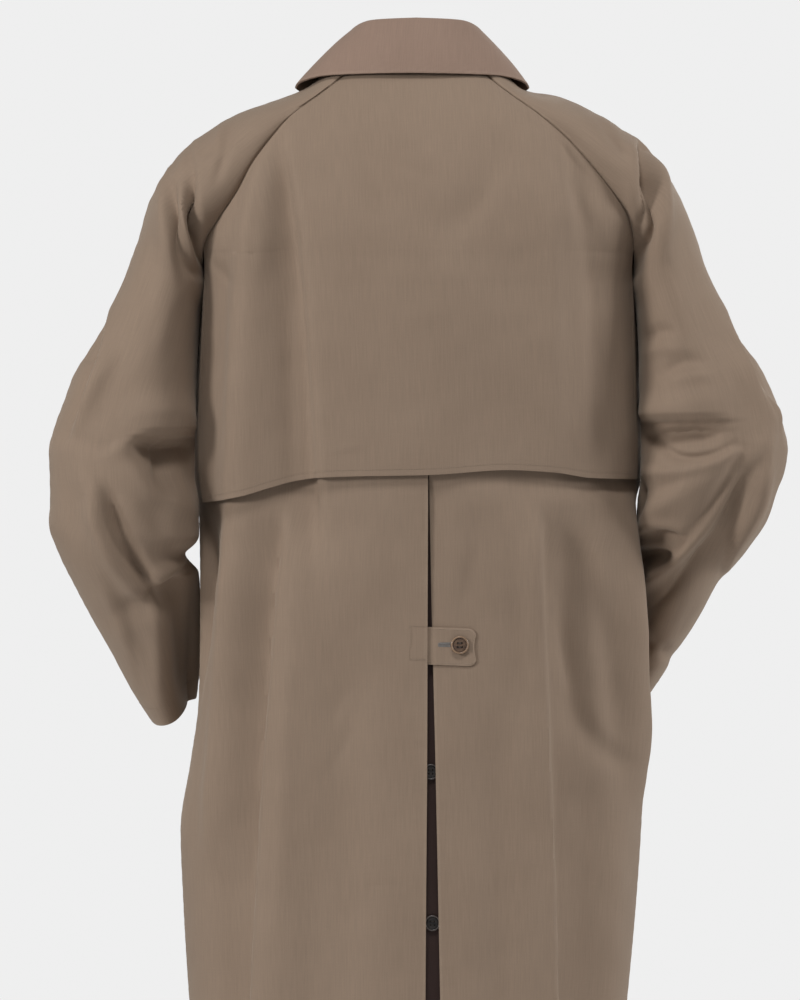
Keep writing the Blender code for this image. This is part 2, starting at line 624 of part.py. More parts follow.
def sleeve_half(side, face):
    """Half a sleeve, from the overarm seam to the raglan seam and the underarm seam."""
    yoke = BACK_YOKE if face == "back" else FRONT_YOKE
    arm = LEFT_SLEEVE if side == "left" else RIGHT_SLEEVE
    way = -1.0 if face == "back" else 1.0
    outward = -1.0 if side == "left" else 1.0
    armpit = len(yoke) - 1
    last = armpit + len(arm)
    at = np.concatenate([np.linspace(0, armpit, YOKE_ROWS + 1),
                         np.linspace(armpit, last, ARM_ROWS + 1)[1:]])

    def along(upper, lower):
        """A measure above the armpit joined to one below it, at every row."""
        return glide(at, np.arange(last + 1), np.concatenate([upper, lower]))[:, None]

    level = 0.0 * column(yoke, "seam_y")
    top_x = along(column(OVERARM, side + "_x"), column(arm, "out_x"))
    top_z = along(column(OVERARM, side + "_z"), column(arm, "out_z"))
    end_x = along(column(yoke, side + "_x"), column(arm, "in_x"))
    end_z = along(column(yoke, "seam_z"), column(arm, "in_z"))
    seam_y = along(np.abs(column(yoke, "seam_y")), 0.0 * column(arm, "deep"))
    mid_y = along(level, column(arm, "mid_y"))
    deep = along(column(OVERARM, face + "_deep"), column(arm, "deep"))
    tilt = along(level, column(arm, "tilt"))
    clear = outward * ARMPIT_CLEAR * ease((at - 8.0) / 4.0) * ease((armpit + 1.0 - at) / 1.0)
    full = np.pi - np.arcsin(np.minimum(1.0, seam_y / deep))
    angles = full * np.linspace(0.0, 1.0, SLEEVE_COLUMNS + 1)
    share = (1.0 - np.cos(angles)) / (1.0 - np.cos(full))
    x = top_x + (end_x + clear[:, None] - top_x) * share
    y = mid_y + way * deep * np.sin(angles)
    z = top_z + (end_z - top_z) * share + way * tilt * np.sin(angles)
    points = np.stack([x, y, z], axis=-1)
    core = (points[:, :1] + points[:, -1:]) / 2
    core = core - np.array([0.0, way, 0.0]) * 0.01
    piece = Piece("sleeve_" + face + "_" + side, points, core)
    folds = LEFT_SLEEVE_FOLDS if side == "left" else RIGHT_SLEEVE_FOLDS
    span = np.linspace(0.0, 1.0, points.shape[1])
    quiet = (ease(span / 0.2) * ease((1.0 - span) / 0.2))[None, :]
    share = 1.0 if face == "back" else 0.6
    piece.push(press(points, folds) * quiet * share)
    return piece


def ring(spec, height, turn):
    """Point of a collar ring; turn is 0 at the centre back, height a COLLAR column."""
    x = spec.mid_x + spec.half_x * np.sin(turn)
    back = spec.mid_y - (spec.mid_y - spec.back_y) * np.cos(turn)
    front = spec.mid_y - (spec.front_y - spec.mid_y) * np.cos(turn)
    y = np.where(np.cos(turn) > 0.0, back, front)
    z = glide(np.degrees(np.abs(turn)), column(COLLAR, "turn_deg") / MM, column(COLLAR, height) / MM)
    return np.stack([x, y, z], axis=-1) * MM


def collar_stand(neck_rows):
    """The stand: up from the neck seam, whose points it shares, to the roll line."""
    base = np.concatenate(neck_rows)
    middle = np.array([ROLL_LINE.mid_x, ROLL_LINE.mid_y, 0.0]) * MM
    turn = np.arctan2(base[:, 0] - middle[0], -(base[:, 1] - middle[1]))
    turn[0] = STAND_END - np.pi
    turn[-1] = np.pi - STAND_END
    base[[0, -1], 0] = [-STAND_OPEN, STAND_OPEN]
    top = ring(ROLL_LINE, "roll_z", turn)
    inward = unit((middle - base) * [1.0, 1.0, 0.0])
    base = base + inward * 0.8 * MM + np.array([0.0, 0.0, 0.6 * MM])
    points = np.array([top, base])
    return Piece("collar_stand", points, points * [0.0, 0.0, 1.0] + middle, "collar_cloth")


def collar_fall():
    """The fall: over the roll line and down to its free edge on the shoulders."""
    across = np.linspace(-1.0, 1.0, FALL_COLUMNS + 1)
    roll_turn = across * np.radians(ROLL_LINE.end_deg)
    edge_turn = across * np.radians(FALL_EDGE.end_deg)
    roll = ring(ROLL_LINE, "roll_z", roll_turn) + [0.0, 0.0, CLOTH + 0.7 * MM]
    edge = ring(FALL_EDGE, "edge_z", edge_turn)
    outward = unit((edge - roll) * [1.0, 1.0, 0.0])
    rows = [roll]
    shoulder = roll + outward * FALL_ROUND + [0.0, 0.0, -0.35 * FALL_ROUND]
    rows.append(shoulder)
    for share in np.linspace(0.0, 1.0, FALL_ROWS + 1)[1:]:
        bow = outward * FALL_BOW * np.sin(np.pi * share)
        rows.append(shoulder + (edge - shoulder) * share + bow)
    points = np.array(rows)
    piece = Piece("collar_fall", points, points - [0.0, 0.0, 1.0], "collar_cloth")
    piece.normals[0] = unit(piece.normals[0] * 0.2 + [0.0, 0.0, 1.0])
    return piece


def centre_surface(x, z):
    """Face of the back near the centre back, folds included, and its outward way."""
    wide = read(BODY, "right_x", z) - centre_back(z)
    lean = (x - centre_back(z)) / wide
    side_y = read(BODY, "right_y", z)
    y = side_y + (read(BODY, "back_y", z) - side_y) * np.sqrt(1.0 - lean ** 2)
    points = np.stack([x, y, z], axis=-1)
    normals = face_normals(points, points * [1.0, 0.0, 1.0])
    return points + normals * back_folds(points)[..., None], normals


def vent_underlay():
    """The pleat behind the vent: sewn to both panels, deep in the middle."""
    across = np.linspace(UNDERLAY_LEFT, UNDERLAY_RIGHT, 9)
    down = np.linspace(UNDERLAY_TOP, HEM_Z + 4 * MM, BODY_ROWS - 3)
    x, z = np.meshgrid(across, down)
    points, normals = centre_surface(x, z)
    sides = ease((x - UNDERLAY_LEFT) / 0.024) * ease((UNDERLAY_RIGHT - x) / 0.032)
    depth = CLOTH + 0.7 * MM + (UNDERLAY_DEPTH - CLOTH - 0.7 * MM) * sides
    points = points - normals * depth[..., None]
    return Piece("vent_underlay", points, points + [0.0, 1.0, 0.0], "vent_cloth")


def tab():
    """The tab: from under the left panel's edge, over the vent, onto the right panel."""
    across = np.array([0.0, 0.16, 0.27, 0.4, 0.55, 0.7, 0.82, 0.9, 0.96, 1.0])
    x_row = TAB_ROOT + (TAB_TIP - TAB_ROOT) * across
    rounding = np.maximum(x_row - (TAB_TIP - TAB_CORNER), 0.0)
    pull = TAB_CORNER - np.sqrt(np.maximum(TAB_CORNER ** 2 - rounding ** 2, (1.5 * MM) ** 2))
    slope = 3.0 * MM * (x_row - TAB_ROOT) / (TAB_TIP - TAB_ROOT)
    grid_x = []
    grid_z = []
    for share in np.linspace(0.0, 1.0, 5):
        top = TAB_TOP - pull - slope
        bottom = TAB_TOP - TAB_DEPTH + pull - slope
        grid_z.append(top + (bottom - top) * share)
        grid_x.append(x_row - 2.0 * MM * np.sin(np.pi * share) * across ** 6)
    points, normals = centre_surface(np.array(grid_x), np.array(grid_z))
    over = vent_step(points) + CLOTH + 0.45 * MM
    under = np.full(over.shape, -(CLOTH + 0.9 * MM))
    share = ease((points[..., 0] - vent_edge(points[..., 2])) / 0.004)
    points = points + normals * (under + (np.maximum(over, under) - under) * share)[..., None]
    return Piece("tab", points, points + [0.0, 1.0, 0.0])


def button(spec, lift):
    """A turned button with a raised rim, standing lift off the back's face."""
    centre = np.array([[spec.x * MM, spec.x * MM + 1 * MM], [spec.x * MM, spec.x * MM + 1 * MM]])
    heights = np.array([[spec.z * MM] * 2, [spec.z * MM - 1 * MM] * 2])
    points, normals = centre_surface(centre, heights)
    out = normals[0, 0]
    seat = points[0, 0] + out * lift
    side_way = unit(np.cross(out, [0.0, 0.0, 1.0]))
    up_way = np.cross(side_way, out)
    radius = spec.across * MM / 2
    thick = spec.thick * MM
    profile = [(0.55, 0.0), (0.9, 0.12), (1.0, 0.55), (0.93, 1.0), (0.8, 0.92), (0.68, 0.7), (0.2, 0.66)]
    mesh = bpy.data.meshes.new(spec.name)
    form = bmesh.new()
    rings = []
    for share, height in profile:
        angles = np.linspace(0.0, 2 * np.pi, BUTTON_SIDES, endpoint=False)
        rings.append([form.verts.new(seat + (side_way * np.cos(a) + up_way * np.sin(a)) * radius * share
                                     + out * thick * height) for a in angles])
    for low, high in zip(rings, rings[1:]):
        for i in range(BUTTON_SIDES):
            j = (i + 1) % BUTTON_SIDES
            form.faces.new((low[i], low[j], high[j], high[i]))
    form.faces.new(rings[0])
    form.faces.new(rings[-1])
    bmesh.ops.triangulate(form, faces=form.faces)
    bmesh.ops.recalc_face_normals(form, faces=form.faces)
    form.to_mesh(mesh)
    form.free()
    mesh.shade_smooth()
    mesh.set_sharp_from_angle(angle=0.7)
    finish = "horn" if spec is TAB_BUTTON else "dark_horn"
    return add_object(spec.name, mesh, finish)


def make_coat():
    remove_all()
    backs = {side: back_panel(side) for side in ("left", "right")}
    fronts = {side: front_panel(side) for side in ("left", "right")}
    sleeves = {(side, face): sleeve_half(side, face)
               for side in ("left", "right") for face in ("back", "front")}
    cape_piece = cape()
    armpit = len(BACK_YOKE) - 1

    for side in ("left", "right"):
        back, front = backs[side], fronts[side]
        sleeve_b, sleeve_f = sleeves[side, "back"], sleeves[side, "front"]
        sew(sleeve_b, edge_of(sleeve_b, "left"), sleeve_f, edge_of(sleeve_f, "left"))
        sew(sleeve_b, edge_of(sleeve_b, "right", armpit), sleeve_f, edge_of(sleeve_f, "right", armpit))
        sew(front, edge_of(front, "right", armpit), back, edge_of(back, "right", armpit))
        sew(front, edge_of(front, "right", 0, armpit - 3), sleeve_f,
            edge_of(sleeve_f, "right", 0, armpit - 3))
        edge = "left" if side == "left" else "right"
        sew(cape_piece, edge_of(cape_piece, edge, 0, CAPE_LEAVES_SEAM),
            sleeve_b, edge_of(sleeve_b, "right", 0, CAPE_LEAVES_SEAM))

    lap_free = {side: half_rows(FRONT_YOKE, side, "front_y", lambda z: 0.0, lambda z: 0.0,
                                FRONT_COLUMNS)[0] for side in ("left", "right")}
    neck_rows = [
        lap_free["left"][:-1], sleeves["left", "front"].points[0, :0:-1],
        sleeves["left", "back"].points[0, :-1], backs["left"].points[0, :0:-1],
        backs["right"].points[0, :-1], sleeves["right", "back"].points[0, :0:-1],
        sleeves["right", "front"].points[0, :-1], lap_free["right"][::-1],
    ]
    stand = collar_stand([row.copy() for row in neck_rows])

    for piece in backs.values():
        draw_back(piece, ("left", "right"))
    for piece in fronts.values():
        draw_back(piece, ("right",))
    for piece in sleeves.values():
        draw_back(piece, ("left", "right"))
    draw_back(cape_piece, ("left", "right"))

    walls = list(backs.values()) + list(fronts.values()) + list(sleeves.values())
    walls += [cape_piece, stand, collar_fall(), vent_underlay(), tab()]
    for piece in walls:
        make_wall(piece)

    tab_face = CLOTH + 0.45 * MM + 1.5 * MM
    lift = float(vent_step(np.array([[TAB_BUTTON.x * MM, 0.0, TAB_BUTTON.z * MM]]))[0]) + tab_face
    button(TAB_BUTTON, lift)
    for spec in VENT_BUTTONS:
        button(spec, -UNDERLAY_DEPTH + 0.4 * MM)


make_coat()
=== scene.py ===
# %% [markdown]
# # A worn balmacaan coat, seen from behind
# A balmacaan is a long, straight overcoat with raglan sleeves, whose seams run from the neck
# to the armpit. This one has a loose cape over the upper back and a vent below it, held
# shut by a buttoned tab. The packed model gives the pieces as plain walls of cloth. Here
# each of them is made again as a fine shell on the same form, with its creases, seams,
# stitches and cloth.

# %% Load the packed model
from collections import namedtuple

import bmesh
import bpy
import numpy as np
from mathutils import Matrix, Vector


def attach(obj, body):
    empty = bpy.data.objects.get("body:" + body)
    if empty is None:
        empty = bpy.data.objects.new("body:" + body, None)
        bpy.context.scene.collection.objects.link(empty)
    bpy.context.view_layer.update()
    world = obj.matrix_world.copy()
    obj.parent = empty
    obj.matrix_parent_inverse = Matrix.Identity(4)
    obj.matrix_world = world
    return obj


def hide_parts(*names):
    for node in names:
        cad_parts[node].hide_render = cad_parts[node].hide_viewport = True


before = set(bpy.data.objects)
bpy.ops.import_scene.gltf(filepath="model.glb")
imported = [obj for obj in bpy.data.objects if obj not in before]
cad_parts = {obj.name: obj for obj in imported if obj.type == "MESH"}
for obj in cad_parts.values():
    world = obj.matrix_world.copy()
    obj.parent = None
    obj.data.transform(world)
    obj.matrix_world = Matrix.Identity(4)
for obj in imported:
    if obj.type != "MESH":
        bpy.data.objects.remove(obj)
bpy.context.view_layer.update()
MM = 0.001

# %% [markdown]
# ## The camera
# The photograph is level and taken from far off, so the coat looks almost as flat as in a
# drawing. A very long lens eighteen metres away gives the same look. The lens is worked out from
# the height that the picture has to show at the coat's middle.

# %% Camera
VIEW_HEIGHT = 1.15            # metres of coat that the picture shows
VIEW_MIDDLE = (-0.0207, -0.5083)
CAMERA_AWAY = 18.0
SENSOR = 36.0                 # millimetres along the picture's longer side

camera_data = bpy.data.cameras.new("long_lens")
camera_data.sensor_width = SENSOR
camera_data.lens = SENSOR * CAMERA_AWAY / VIEW_HEIGHT
camera_data.clip_end = 60.0
camera = bpy.data.objects.new("camera", camera_data)
camera.location = (VIEW_MIDDLE[0], -CAMERA_AWAY, VIEW_MIDDLE[1])
camera.rotation_euler = (np.pi / 2, 0.0, 0.0)
bpy.context.scene.collection.objects.link(camera)
bpy.context.scene.camera = camera
bpy.context.scene.view_settings.view_transform = "Standard"
print("lens:", round(camera_data.lens, 1), "mm")

# %% [markdown]
# ## A pale studio
# Cloth shows its folds when light grazes them and the shadows are filled softly. A lamp high
# over the coat's back does most of the modelling, one on the left rakes across the long
# upright folds, and one on the right lifts that sleeve's edge. The fourth lights the coat's
# own front, for a look from there. A pale backdrop colour is what the camera sees behind
# the coat, and a darker one fills the shadows.

# %% Floor, backdrop and lamps
FLOOR_Z = -1.48               # the coat hangs at the height of a standing wearer
FLOOR_HALF = 2.4
BACKDROP = 0.862
AMBIENT = 0.22
COAT_MIDDLE = (0.0, 0.0, -0.5)

LampSpec = namedtuple("LampSpec", "name place wide power")
LAMPS = [
    LampSpec("key", (-0.3, -2.3, 3.0), 1.0, 72.0),
    LampSpec("side", (-3.55, -2.35, 0.8), 0.8, 100.0),
    LampSpec("rim", (4.0, -0.4, 0.9), 1.4, 96.0),
    LampSpec("front", (0.8, 4.2, 0.8), 2.6, 45.0),
]


def add_lamp(spec):
    """A square soft lamp that points at the coat's middle."""
    data = bpy.data.lights.new(spec.name, "AREA")
    data.shape = "SQUARE"
    data.size = spec.wide
    data.energy = spec.power
    lamp = bpy.data.objects.new(spec.name, data)
    lamp.location = spec.place
    way = Vector(COAT_MIDDLE) - Vector(spec.place)
    lamp.rotation_euler = way.to_track_quat("-Z", "Y").to_euler()
    bpy.context.scene.collection.objects.link(lamp)


def make_backdrop():
    """World colour: pale where the camera looks, softer as light on the coat."""
    world = bpy.data.worlds.new("studio")
    world.use_nodes = True
    tree = world.node_tree
    background = tree.nodes["Background"]
    rays = tree.nodes.new("ShaderNodeLightPath")
    choose = tree.nodes.new("ShaderNodeMapRange")
    choose.inputs["To Min"].default_value = AMBIENT
    choose.inputs["To Max"].default_value = BACKDROP
    tree.links.new(rays.outputs["Is Camera Ray"], choose.inputs["Value"])
    tree.links.new(choose.outputs["Result"], background.inputs["Strength"])
    background.inputs["Color"].default_value = (1.0, 1.0, 1.0, 1.0)
    bpy.context.scene.world = world


def make_floor():
    """A pale square floor, too small to come into the camera's view."""
    mesh = bpy.data.meshes.new("floor")
    ways = [(-1, -1), (1, -1), (1, 1), (-1, 1)]
    mesh.from_pydata([(FLOOR_HALF * x, FLOOR_HALF * y, FLOOR_Z) for x, y in ways], [], [(0, 1, 2, 3)])
    material = bpy.data.materials.new("pale_floor")
    material.use_nodes = True
    shader = material.node_tree.nodes["Principled BSDF"]
    shader.inputs["Base Color"].default_value = (0.80, 0.80, 0.80, 1.0)
    shader.inputs["Roughness"].default_value = 0.9
    mesh.materials.append(material)
    floor = bpy.data.objects.new("floor", mesh)
    bpy.context.scene.collection.objects.link(floor)


make_backdrop()
make_floor()
for lamp_spec in LAMPS:
    add_lamp(lamp_spec)
print("lamps:", [spec.name for spec in LAMPS])

# %% [markdown]
# ## Materials: shared effects
# The coat is cotton gabardine, a tight twill: fine ribs that climb to the right, threads
# that differ a little in shade, and a faint bloom of sheen. These effects are the same in
# every cloth here, so they are shader node groups. They read the cloth's own UV map, which
# holds metres of cloth, so the ribs keep their size on every panel and turn with it.

# %% Node group helpers
def socket(group, name, kind, inward=True, value=None):
    """Add one named input or output to a node group."""
    made = group.interface.new_socket(name, in_out="INPUT" if inward else "OUTPUT", socket_type=kind)
    if value is not None:
        made.default_value = value
    return made


class Wires:
    """A few short words for building a node tree."""

    def __init__(self, tree):
        self.tree = tree

    def node(self, kind, **settings):
        made = self.tree.nodes.new(kind)
        for name, value in settings.items():
            setattr(made, name, value)
        return made

    def put(self, target, source):
        """Link a socket to a node's output, or set it to a value."""
        if hasattr(source, "is_output"):
            self.tree.links.new(source, target)
        else:
            target.default_value = source

    def maths(self, operation, first, second=0.0):
        made = self.node("ShaderNodeMath", operation=operation)
        self.put(made.inputs[0], first)
        self.put(made.inputs[1], second)
        return made.outputs[0]

    def mix_of(self, first, share_of_first, second, share_of_second):
        """Two values added, each multiplied by its share."""
        scaled = self.maths("MULTIPLY", first, share_of_first)
        return self.maths("ADD", scaled, self.maths("MULTIPLY", second, share_of_second))

    def noise(self, vector, scale, detail=3.0):
        made = self.node("ShaderNodeTexNoise")
        self.put(made.inputs["Vector"], vector)
        self.put(made.inputs["Scale"], scale)
        made.inputs["Detail"].default_value = detail
        made.inputs["Roughness"].default_value = 0.55
        return made.outputs["Fac"]

    def stretch(self, vector, scale, turn=0.0):
        made = self.node("ShaderNodeMapping")
        self.put(made.inputs["Vector"], vector)
        made.inputs["Scale"].default_value = scale
        made.inputs["Rotation"].default_value = (0.0, 0.0, turn)
        return made.outputs["Vector"]

    def span(self, value, low, high, to_low=0.0, to_high=1.0):
        made = self.node("ShaderNodeMapRange")
        self.put(made.inputs["Value"], value)
        made.inputs["From Min"].default_value = low
        made.inputs["From Max"].default_value = high
        self.put(made.inputs["To Min"], to_low)
        self.put(made.inputs["To Max"], to_high)
        return made.outputs["Result"]

    def blend(self, share, first, second):
        made = self.node("ShaderNodeMix", data_type="RGBA")
        self.put(made.inputs["Factor"], share)
        self.put(made.inputs[6], first)
        self.put(made.inputs[7], second)
        return made.outputs[2]


def new_group(name):
    """An empty shader node group and the words to build it with."""
    group = bpy.data.node_groups.new(name, "ShaderNodeTree")
    return group, Wires(group)


print("words for node trees:", [word for word in vars(Wires) if not word.startswith("_")])

# %% Twill weave group
# Threads and fuzz to a metre of cloth, along the weft and along the warp.
WARP_THREADS = (760.0, 26.0, 1.0)
WEFT_THREADS = (40.0, 820.0, 1.0)
FUZZ = (1500.0, 900.0, 1.0)
RIB_LEAN = 0.62               # a rib goes this far sideways to each metre up
ONE_BAND = 0.314              # the wave texture's scale at which a band is a metre wide


def make_twill_group():
    """Ribs of the twill, single threads and slubs: a height and a shade mask."""
    group, wires = new_group("twill weave")
    socket(group, "Cloth Metres", "NodeSocketVector")
    socket(group, "Ribs Per Metre", "NodeSocketFloat", value=900.0)
    socket(group, "Height", "NodeSocketFloat", inward=False)
    socket(group, "Thread Shade", "NodeSocketFloat", inward=False)
    entry = wires.node("NodeGroupInput")
    leave = wires.node("NodeGroupOutput")
    metres = entry.outputs["Cloth Metres"]
    ribs = wires.node("ShaderNodeTexWave", wave_type="BANDS", bands_direction="X", wave_profile="SIN")
    leaning = wires.stretch(metres, (1.0, RIB_LEAN, 1.0))
    slant = wires.node("ShaderNodeSeparateXYZ")
    wires.put(slant.inputs[0], leaning)
    along = wires.maths("SUBTRACT", slant.outputs["X"], slant.outputs["Y"])
    row = wires.node("ShaderNodeCombineXYZ")
    wires.put(row.inputs["X"], along)
    wires.put(ribs.inputs["Vector"], row.outputs[0])
    wires.put(ribs.inputs["Scale"], wires.maths("MULTIPLY", entry.outputs["Ribs Per Metre"], ONE_BAND))
    ribs.inputs["Distortion"].default_value = 0.0
    fuzz = wires.noise(wires.stretch(metres, FUZZ), 1.0, 2.0)
    warp = wires.noise(wires.stretch(metres, WARP_THREADS), 1.0, 3.0)
    weft = wires.noise(wires.stretch(metres, WEFT_THREADS), 1.0, 2.0)
    threads = wires.mix_of(warp, 0.8, weft, 0.2)
    height = wires.mix_of(ribs.outputs["Fac"], 0.5, fuzz, 0.5)
    wires.put(leave.inputs["Height"], wires.maths("ADD", height, wires.maths("MULTIPLY", threads, 0.6)))
    wires.put(leave.inputs["Thread Shade"], wires.mix_of(threads, 0.7, fuzz, 0.3))
    return group


TWILL = make_twill_group()
print("twill group:", len(TWILL.nodes), "nodes")

# %% Cloth tone group
STREAKS = (110.0, 9.0, 1.0)   # pale streaks to a metre, along the weft and along the warp
CLOUDS = 7.0
# Scale of the patches along the pale edge line, which is painted edge highlight with rubbed wear.
EDGE_PATCH_SCALE = 160.0
EDGE_HIGHLIGHT_AND_WEAR = 0.55              # how far the edge line goes to the pale colour: painted edge highlight with rubbed wear


def make_tone_group():
    """Cloudy colour of worn cloth: soft patches, streaks, single threads, and pale edge lines that are
    painted edge highlight with rubbed wear.
    """
    group, wires = new_group("cloth tone")
    socket(group, "Cloth Metres", "NodeSocketVector")
    socket(group, "Colour", "NodeSocketColor")
    socket(group, "Pale Colour", "NodeSocketColor")
    socket(group, "Thread Shade", "NodeSocketFloat")
    socket(group, "Edge", "NodeSocketFloat")
    socket(group, "Colour Out", "NodeSocketColor", inward=False)
    socket(group, "Edge Highlight And Rub", "NodeSocketFloat", inward=False)
    entry = wires.node("NodeGroupInput")
    leave = wires.node("NodeGroupOutput")
    metres = entry.outputs["Cloth Metres"]
    clouds = wires.noise(metres, CLOUDS, 4.0)
    streaks = wires.noise(wires.stretch(metres, STREAKS), 1.0, 3.0)
    patch = wires.mix_of(clouds, 0.75, streaks, 0.25)
    pale = wires.span(patch, 0.35, 0.68, 0.04, 0.28)
    toned = wires.blend(pale, entry.outputs["Colour"], entry.outputs["Pale Colour"])
    # Pale line along seams and edges: painted edge highlight, with rubbed wear.
    edge_patchiness = wires.noise(metres, EDGE_PATCH_SCALE, 3.0)
    highlight_and_rub = wires.maths("MULTIPLY", entry.outputs["Edge"], wires.span(edge_patchiness, 0.3, 0.7, 0.35, 1.0))
    edged = wires.blend(wires.maths("MULTIPLY", highlight_and_rub, EDGE_HIGHLIGHT_AND_WEAR), toned, entry.outputs["Pale Colour"])
    threaded = wires.node("ShaderNodeHueSaturation")
    wires.put(threaded.inputs["Color"], edged)
    wires.put(threaded.inputs["Value"], wires.span(entry.outputs["Thread Shade"], 0.36, 0.64, 0.925, 1.06))
    wires.put(leave.inputs["Colour Out"], threaded.outputs["Color"])
    wires.put(leave.inputs["Edge Highlight And Rub"], highlight_and_rub)
    return group


TONE = make_tone_group()
print("tone group:", len(TONE.nodes), "nodes")

# %% [markdown]
# ## Materials: the cloths
# Gabardine scatters light softly and shows a little sheen where it turns away from the eye. The colour
# comes from the tone group, the bump from the twill group. Each panel carries an attribute named edge, 1 on
# a line beside each seam or folded edge, 0 elsewhere; there the colour goes pale, which is painted edge
# highlight together with rubbed wear.

# %% Cloth materials
SHEEN_TINT = (0.95, 0.86, 0.74, 1.0)
WEAVE_HEIGHT = 0.25 * MM
EDGE_POLISH = 0.12            # rubbed edges are this much smoother

ClothSpec = namedtuple("ClothSpec", "name colour pale ribs rough sheen bump")
CLOTHS = [
    ClothSpec("gabardine", (0.232, 0.167, 0.120), (0.300, 0.223, 0.164), 900.0, 0.82, 0.16, 0.30),
    ClothSpec("collar_gabardine", (0.240, 0.162, 0.123), (0.305, 0.215, 0.165), 900.0, 0.82, 0.16, 0.30),
    # The facing's very dark colour is partly painted shadow of the deep vent.
    ClothSpec("facing_with_painted_shadow", (0.040, 0.021, 0.018), (0.062, 0.036, 0.030), 1300.0, 0.62, 0.06, 0.16),
]


def new_material(name):
    """A material, the words for its tree, and its shader."""
    material = bpy.data.materials.new(name)
    material.use_nodes = True
    return material, Wires(material.node_tree), material.node_tree.nodes["Principled BSDF"]


def bump_with(wires, shader, height, strength, distance):
    """Let a height shade the surface as small bumps."""
    bump = wires.node("ShaderNodeBump")
    bump.inputs["Strength"].default_value = strength
    bump.inputs["Distance"].default_value = distance
    wires.put(bump.inputs["Height"], height)
    wires.put(shader.inputs["Normal"], bump.outputs["Normal"])


def make_cloth(spec):
    """Tone from the cloth's metres, bump from its weave, and a little warm sheen."""
    material, wires, shader = new_material(spec.name)
    place = wires.node("ShaderNodeUVMap", uv_map="cloth")
    edge = wires.node("ShaderNodeAttribute", attribute_name="edge")
    twill = wires.node("ShaderNodeGroup", node_tree=TWILL)
    wires.put(twill.inputs["Cloth Metres"], place.outputs["UV"])
    twill.inputs["Ribs Per Metre"].default_value = spec.ribs
    tone = wires.node("ShaderNodeGroup", node_tree=TONE)
    wires.put(tone.inputs["Cloth Metres"], place.outputs["UV"])
    tone.inputs["Colour"].default_value = (*spec.colour, 1.0)
    tone.inputs["Pale Colour"].default_value = (*spec.pale, 1.0)
    wires.put(tone.inputs["Thread Shade"], twill.outputs["Thread Shade"])
    # The edge attribute turns a line by seams and edges pale: painted edge highlight with rubbed wear.
    wires.put(tone.inputs["Edge"], edge.outputs["Fac"])
    wires.put(shader.inputs["Base Color"], tone.outputs["Colour Out"])
    bump_with(wires, shader, twill.outputs["Height"], spec.bump, WEAVE_HEIGHT)
    polish = wires.span(tone.outputs["Edge Highlight And Rub"], 0.0, 1.0, spec.rough, spec.rough - EDGE_POLISH)
    wires.put(shader.inputs["Roughness"], polish)
    shader.inputs["Specular IOR Level"].default_value = 0.28
    shader.inputs["Sheen Weight"].default_value = spec.sheen
    shader.inputs["Sheen Roughness"].default_value = 0.45
    shader.inputs["Sheen Tint"].default_value = SHEEN_TINT
    return material


MATERIALS = {spec.name: make_cloth(spec) for spec in CLOTHS}
print("cloths:", list(MATERIALS))

# %% [markdown]
# ## Materials: resin buttons and thread
# The buttons are cast resin that looks like horn: brown with darker streaks, and a paler rim, which is a
# painted highlight ring, round the darker dish. Thread is soft and a little paler than the cloth it sews.

# %% Button and thread materials
# Streaks, clouds, scratches and fibres to a metre.
HORN_STREAKS = (90.0, 90.0, 420.0)
HORN_CLOUDS = 160.0
HORN_SCRATCHES = (900.0, 900.0, 2600.0)
FIBRES = 2400.0

HornSpec = namedtuple("HornSpec", "name dark light rough")
HORNS = [
    HornSpec("horn_resin", (0.060, 0.034, 0.024), (0.250, 0.155, 0.090), 0.34),
    HornSpec("dark_horn_resin", (0.008, 0.006, 0.006), (0.085, 0.066, 0.060), 0.34),
]
ThreadSpec = namedtuple("ThreadSpec", "name colour")
THREADS = [
    ThreadSpec("seam_thread", (0.262, 0.192, 0.130)),
    ThreadSpec("buttonhole_thread", (0.205, 0.190, 0.178)),
    ThreadSpec("button_thread", (0.040, 0.027, 0.020)),
]


def make_horn(spec):
    """Streaky resin with a paler rim that is a painted highlight, fine scratches and a thin gloss coat."""
    material, wires, shader = new_material(spec.name)
    place = wires.node("ShaderNodeTexCoord").outputs["Object"]
    streaks = wires.noise(wires.stretch(place, HORN_STREAKS, 0.6), 1.0, 4.0)
    cloud = wires.noise(place, HORN_CLOUDS, 3.0)
    mixed = wires.mix_of(streaks, 0.6, cloud, 0.4)
    # The edge attribute paints a highlight ring along the top of the rim.
    edge = wires.node("ShaderNodeAttribute", attribute_name="edge").outputs["Fac"]
    share = wires.maths("ADD", wires.span(mixed, 0.38, 0.66, 0.0, 0.45), wires.maths("MULTIPLY", edge, 0.9))
    wires.put(shader.inputs["Base Color"], wires.blend(share, (*spec.dark, 1.0), (*spec.light, 1.0)))
    scratch = wires.noise(wires.stretch(place, HORN_SCRATCHES, 0.3), 1.0, 2.0)
    wires.put(shader.inputs["Roughness"], wires.span(scratch, 0.3, 0.7, spec.rough, spec.rough + 0.16))
    bump_with(wires, shader, scratch, 0.12, 0.05 * MM)
    shader.inputs["Coat Weight"].default_value = 0.35
    shader.inputs["Coat Roughness"].default_value = 0.18
    return material


def make_thread(spec):
    """Matt thread whose fibres differ a little in shade."""
    material, wires, shader = new_material(spec.name)
    place = wires.node("ShaderNodeTexCoord").outputs["Object"]
    fibre = wires.noise(place, FIBRES, 2.0)
    dark = tuple(0.72 * c for c in spec.colour)
    colour = wires.blend(wires.span(fibre, 0.3, 0.7), (*dark, 1.0), (*spec.colour, 1.0))
    wires.put(shader.inputs["Base Color"], colour)
    wires.put(shader.inputs["Roughness"], wires.span(fibre, 0.3, 0.7, 0.55, 0.75))
    shader.inputs["Sheen Weight"].default_value = 0.2
    return material


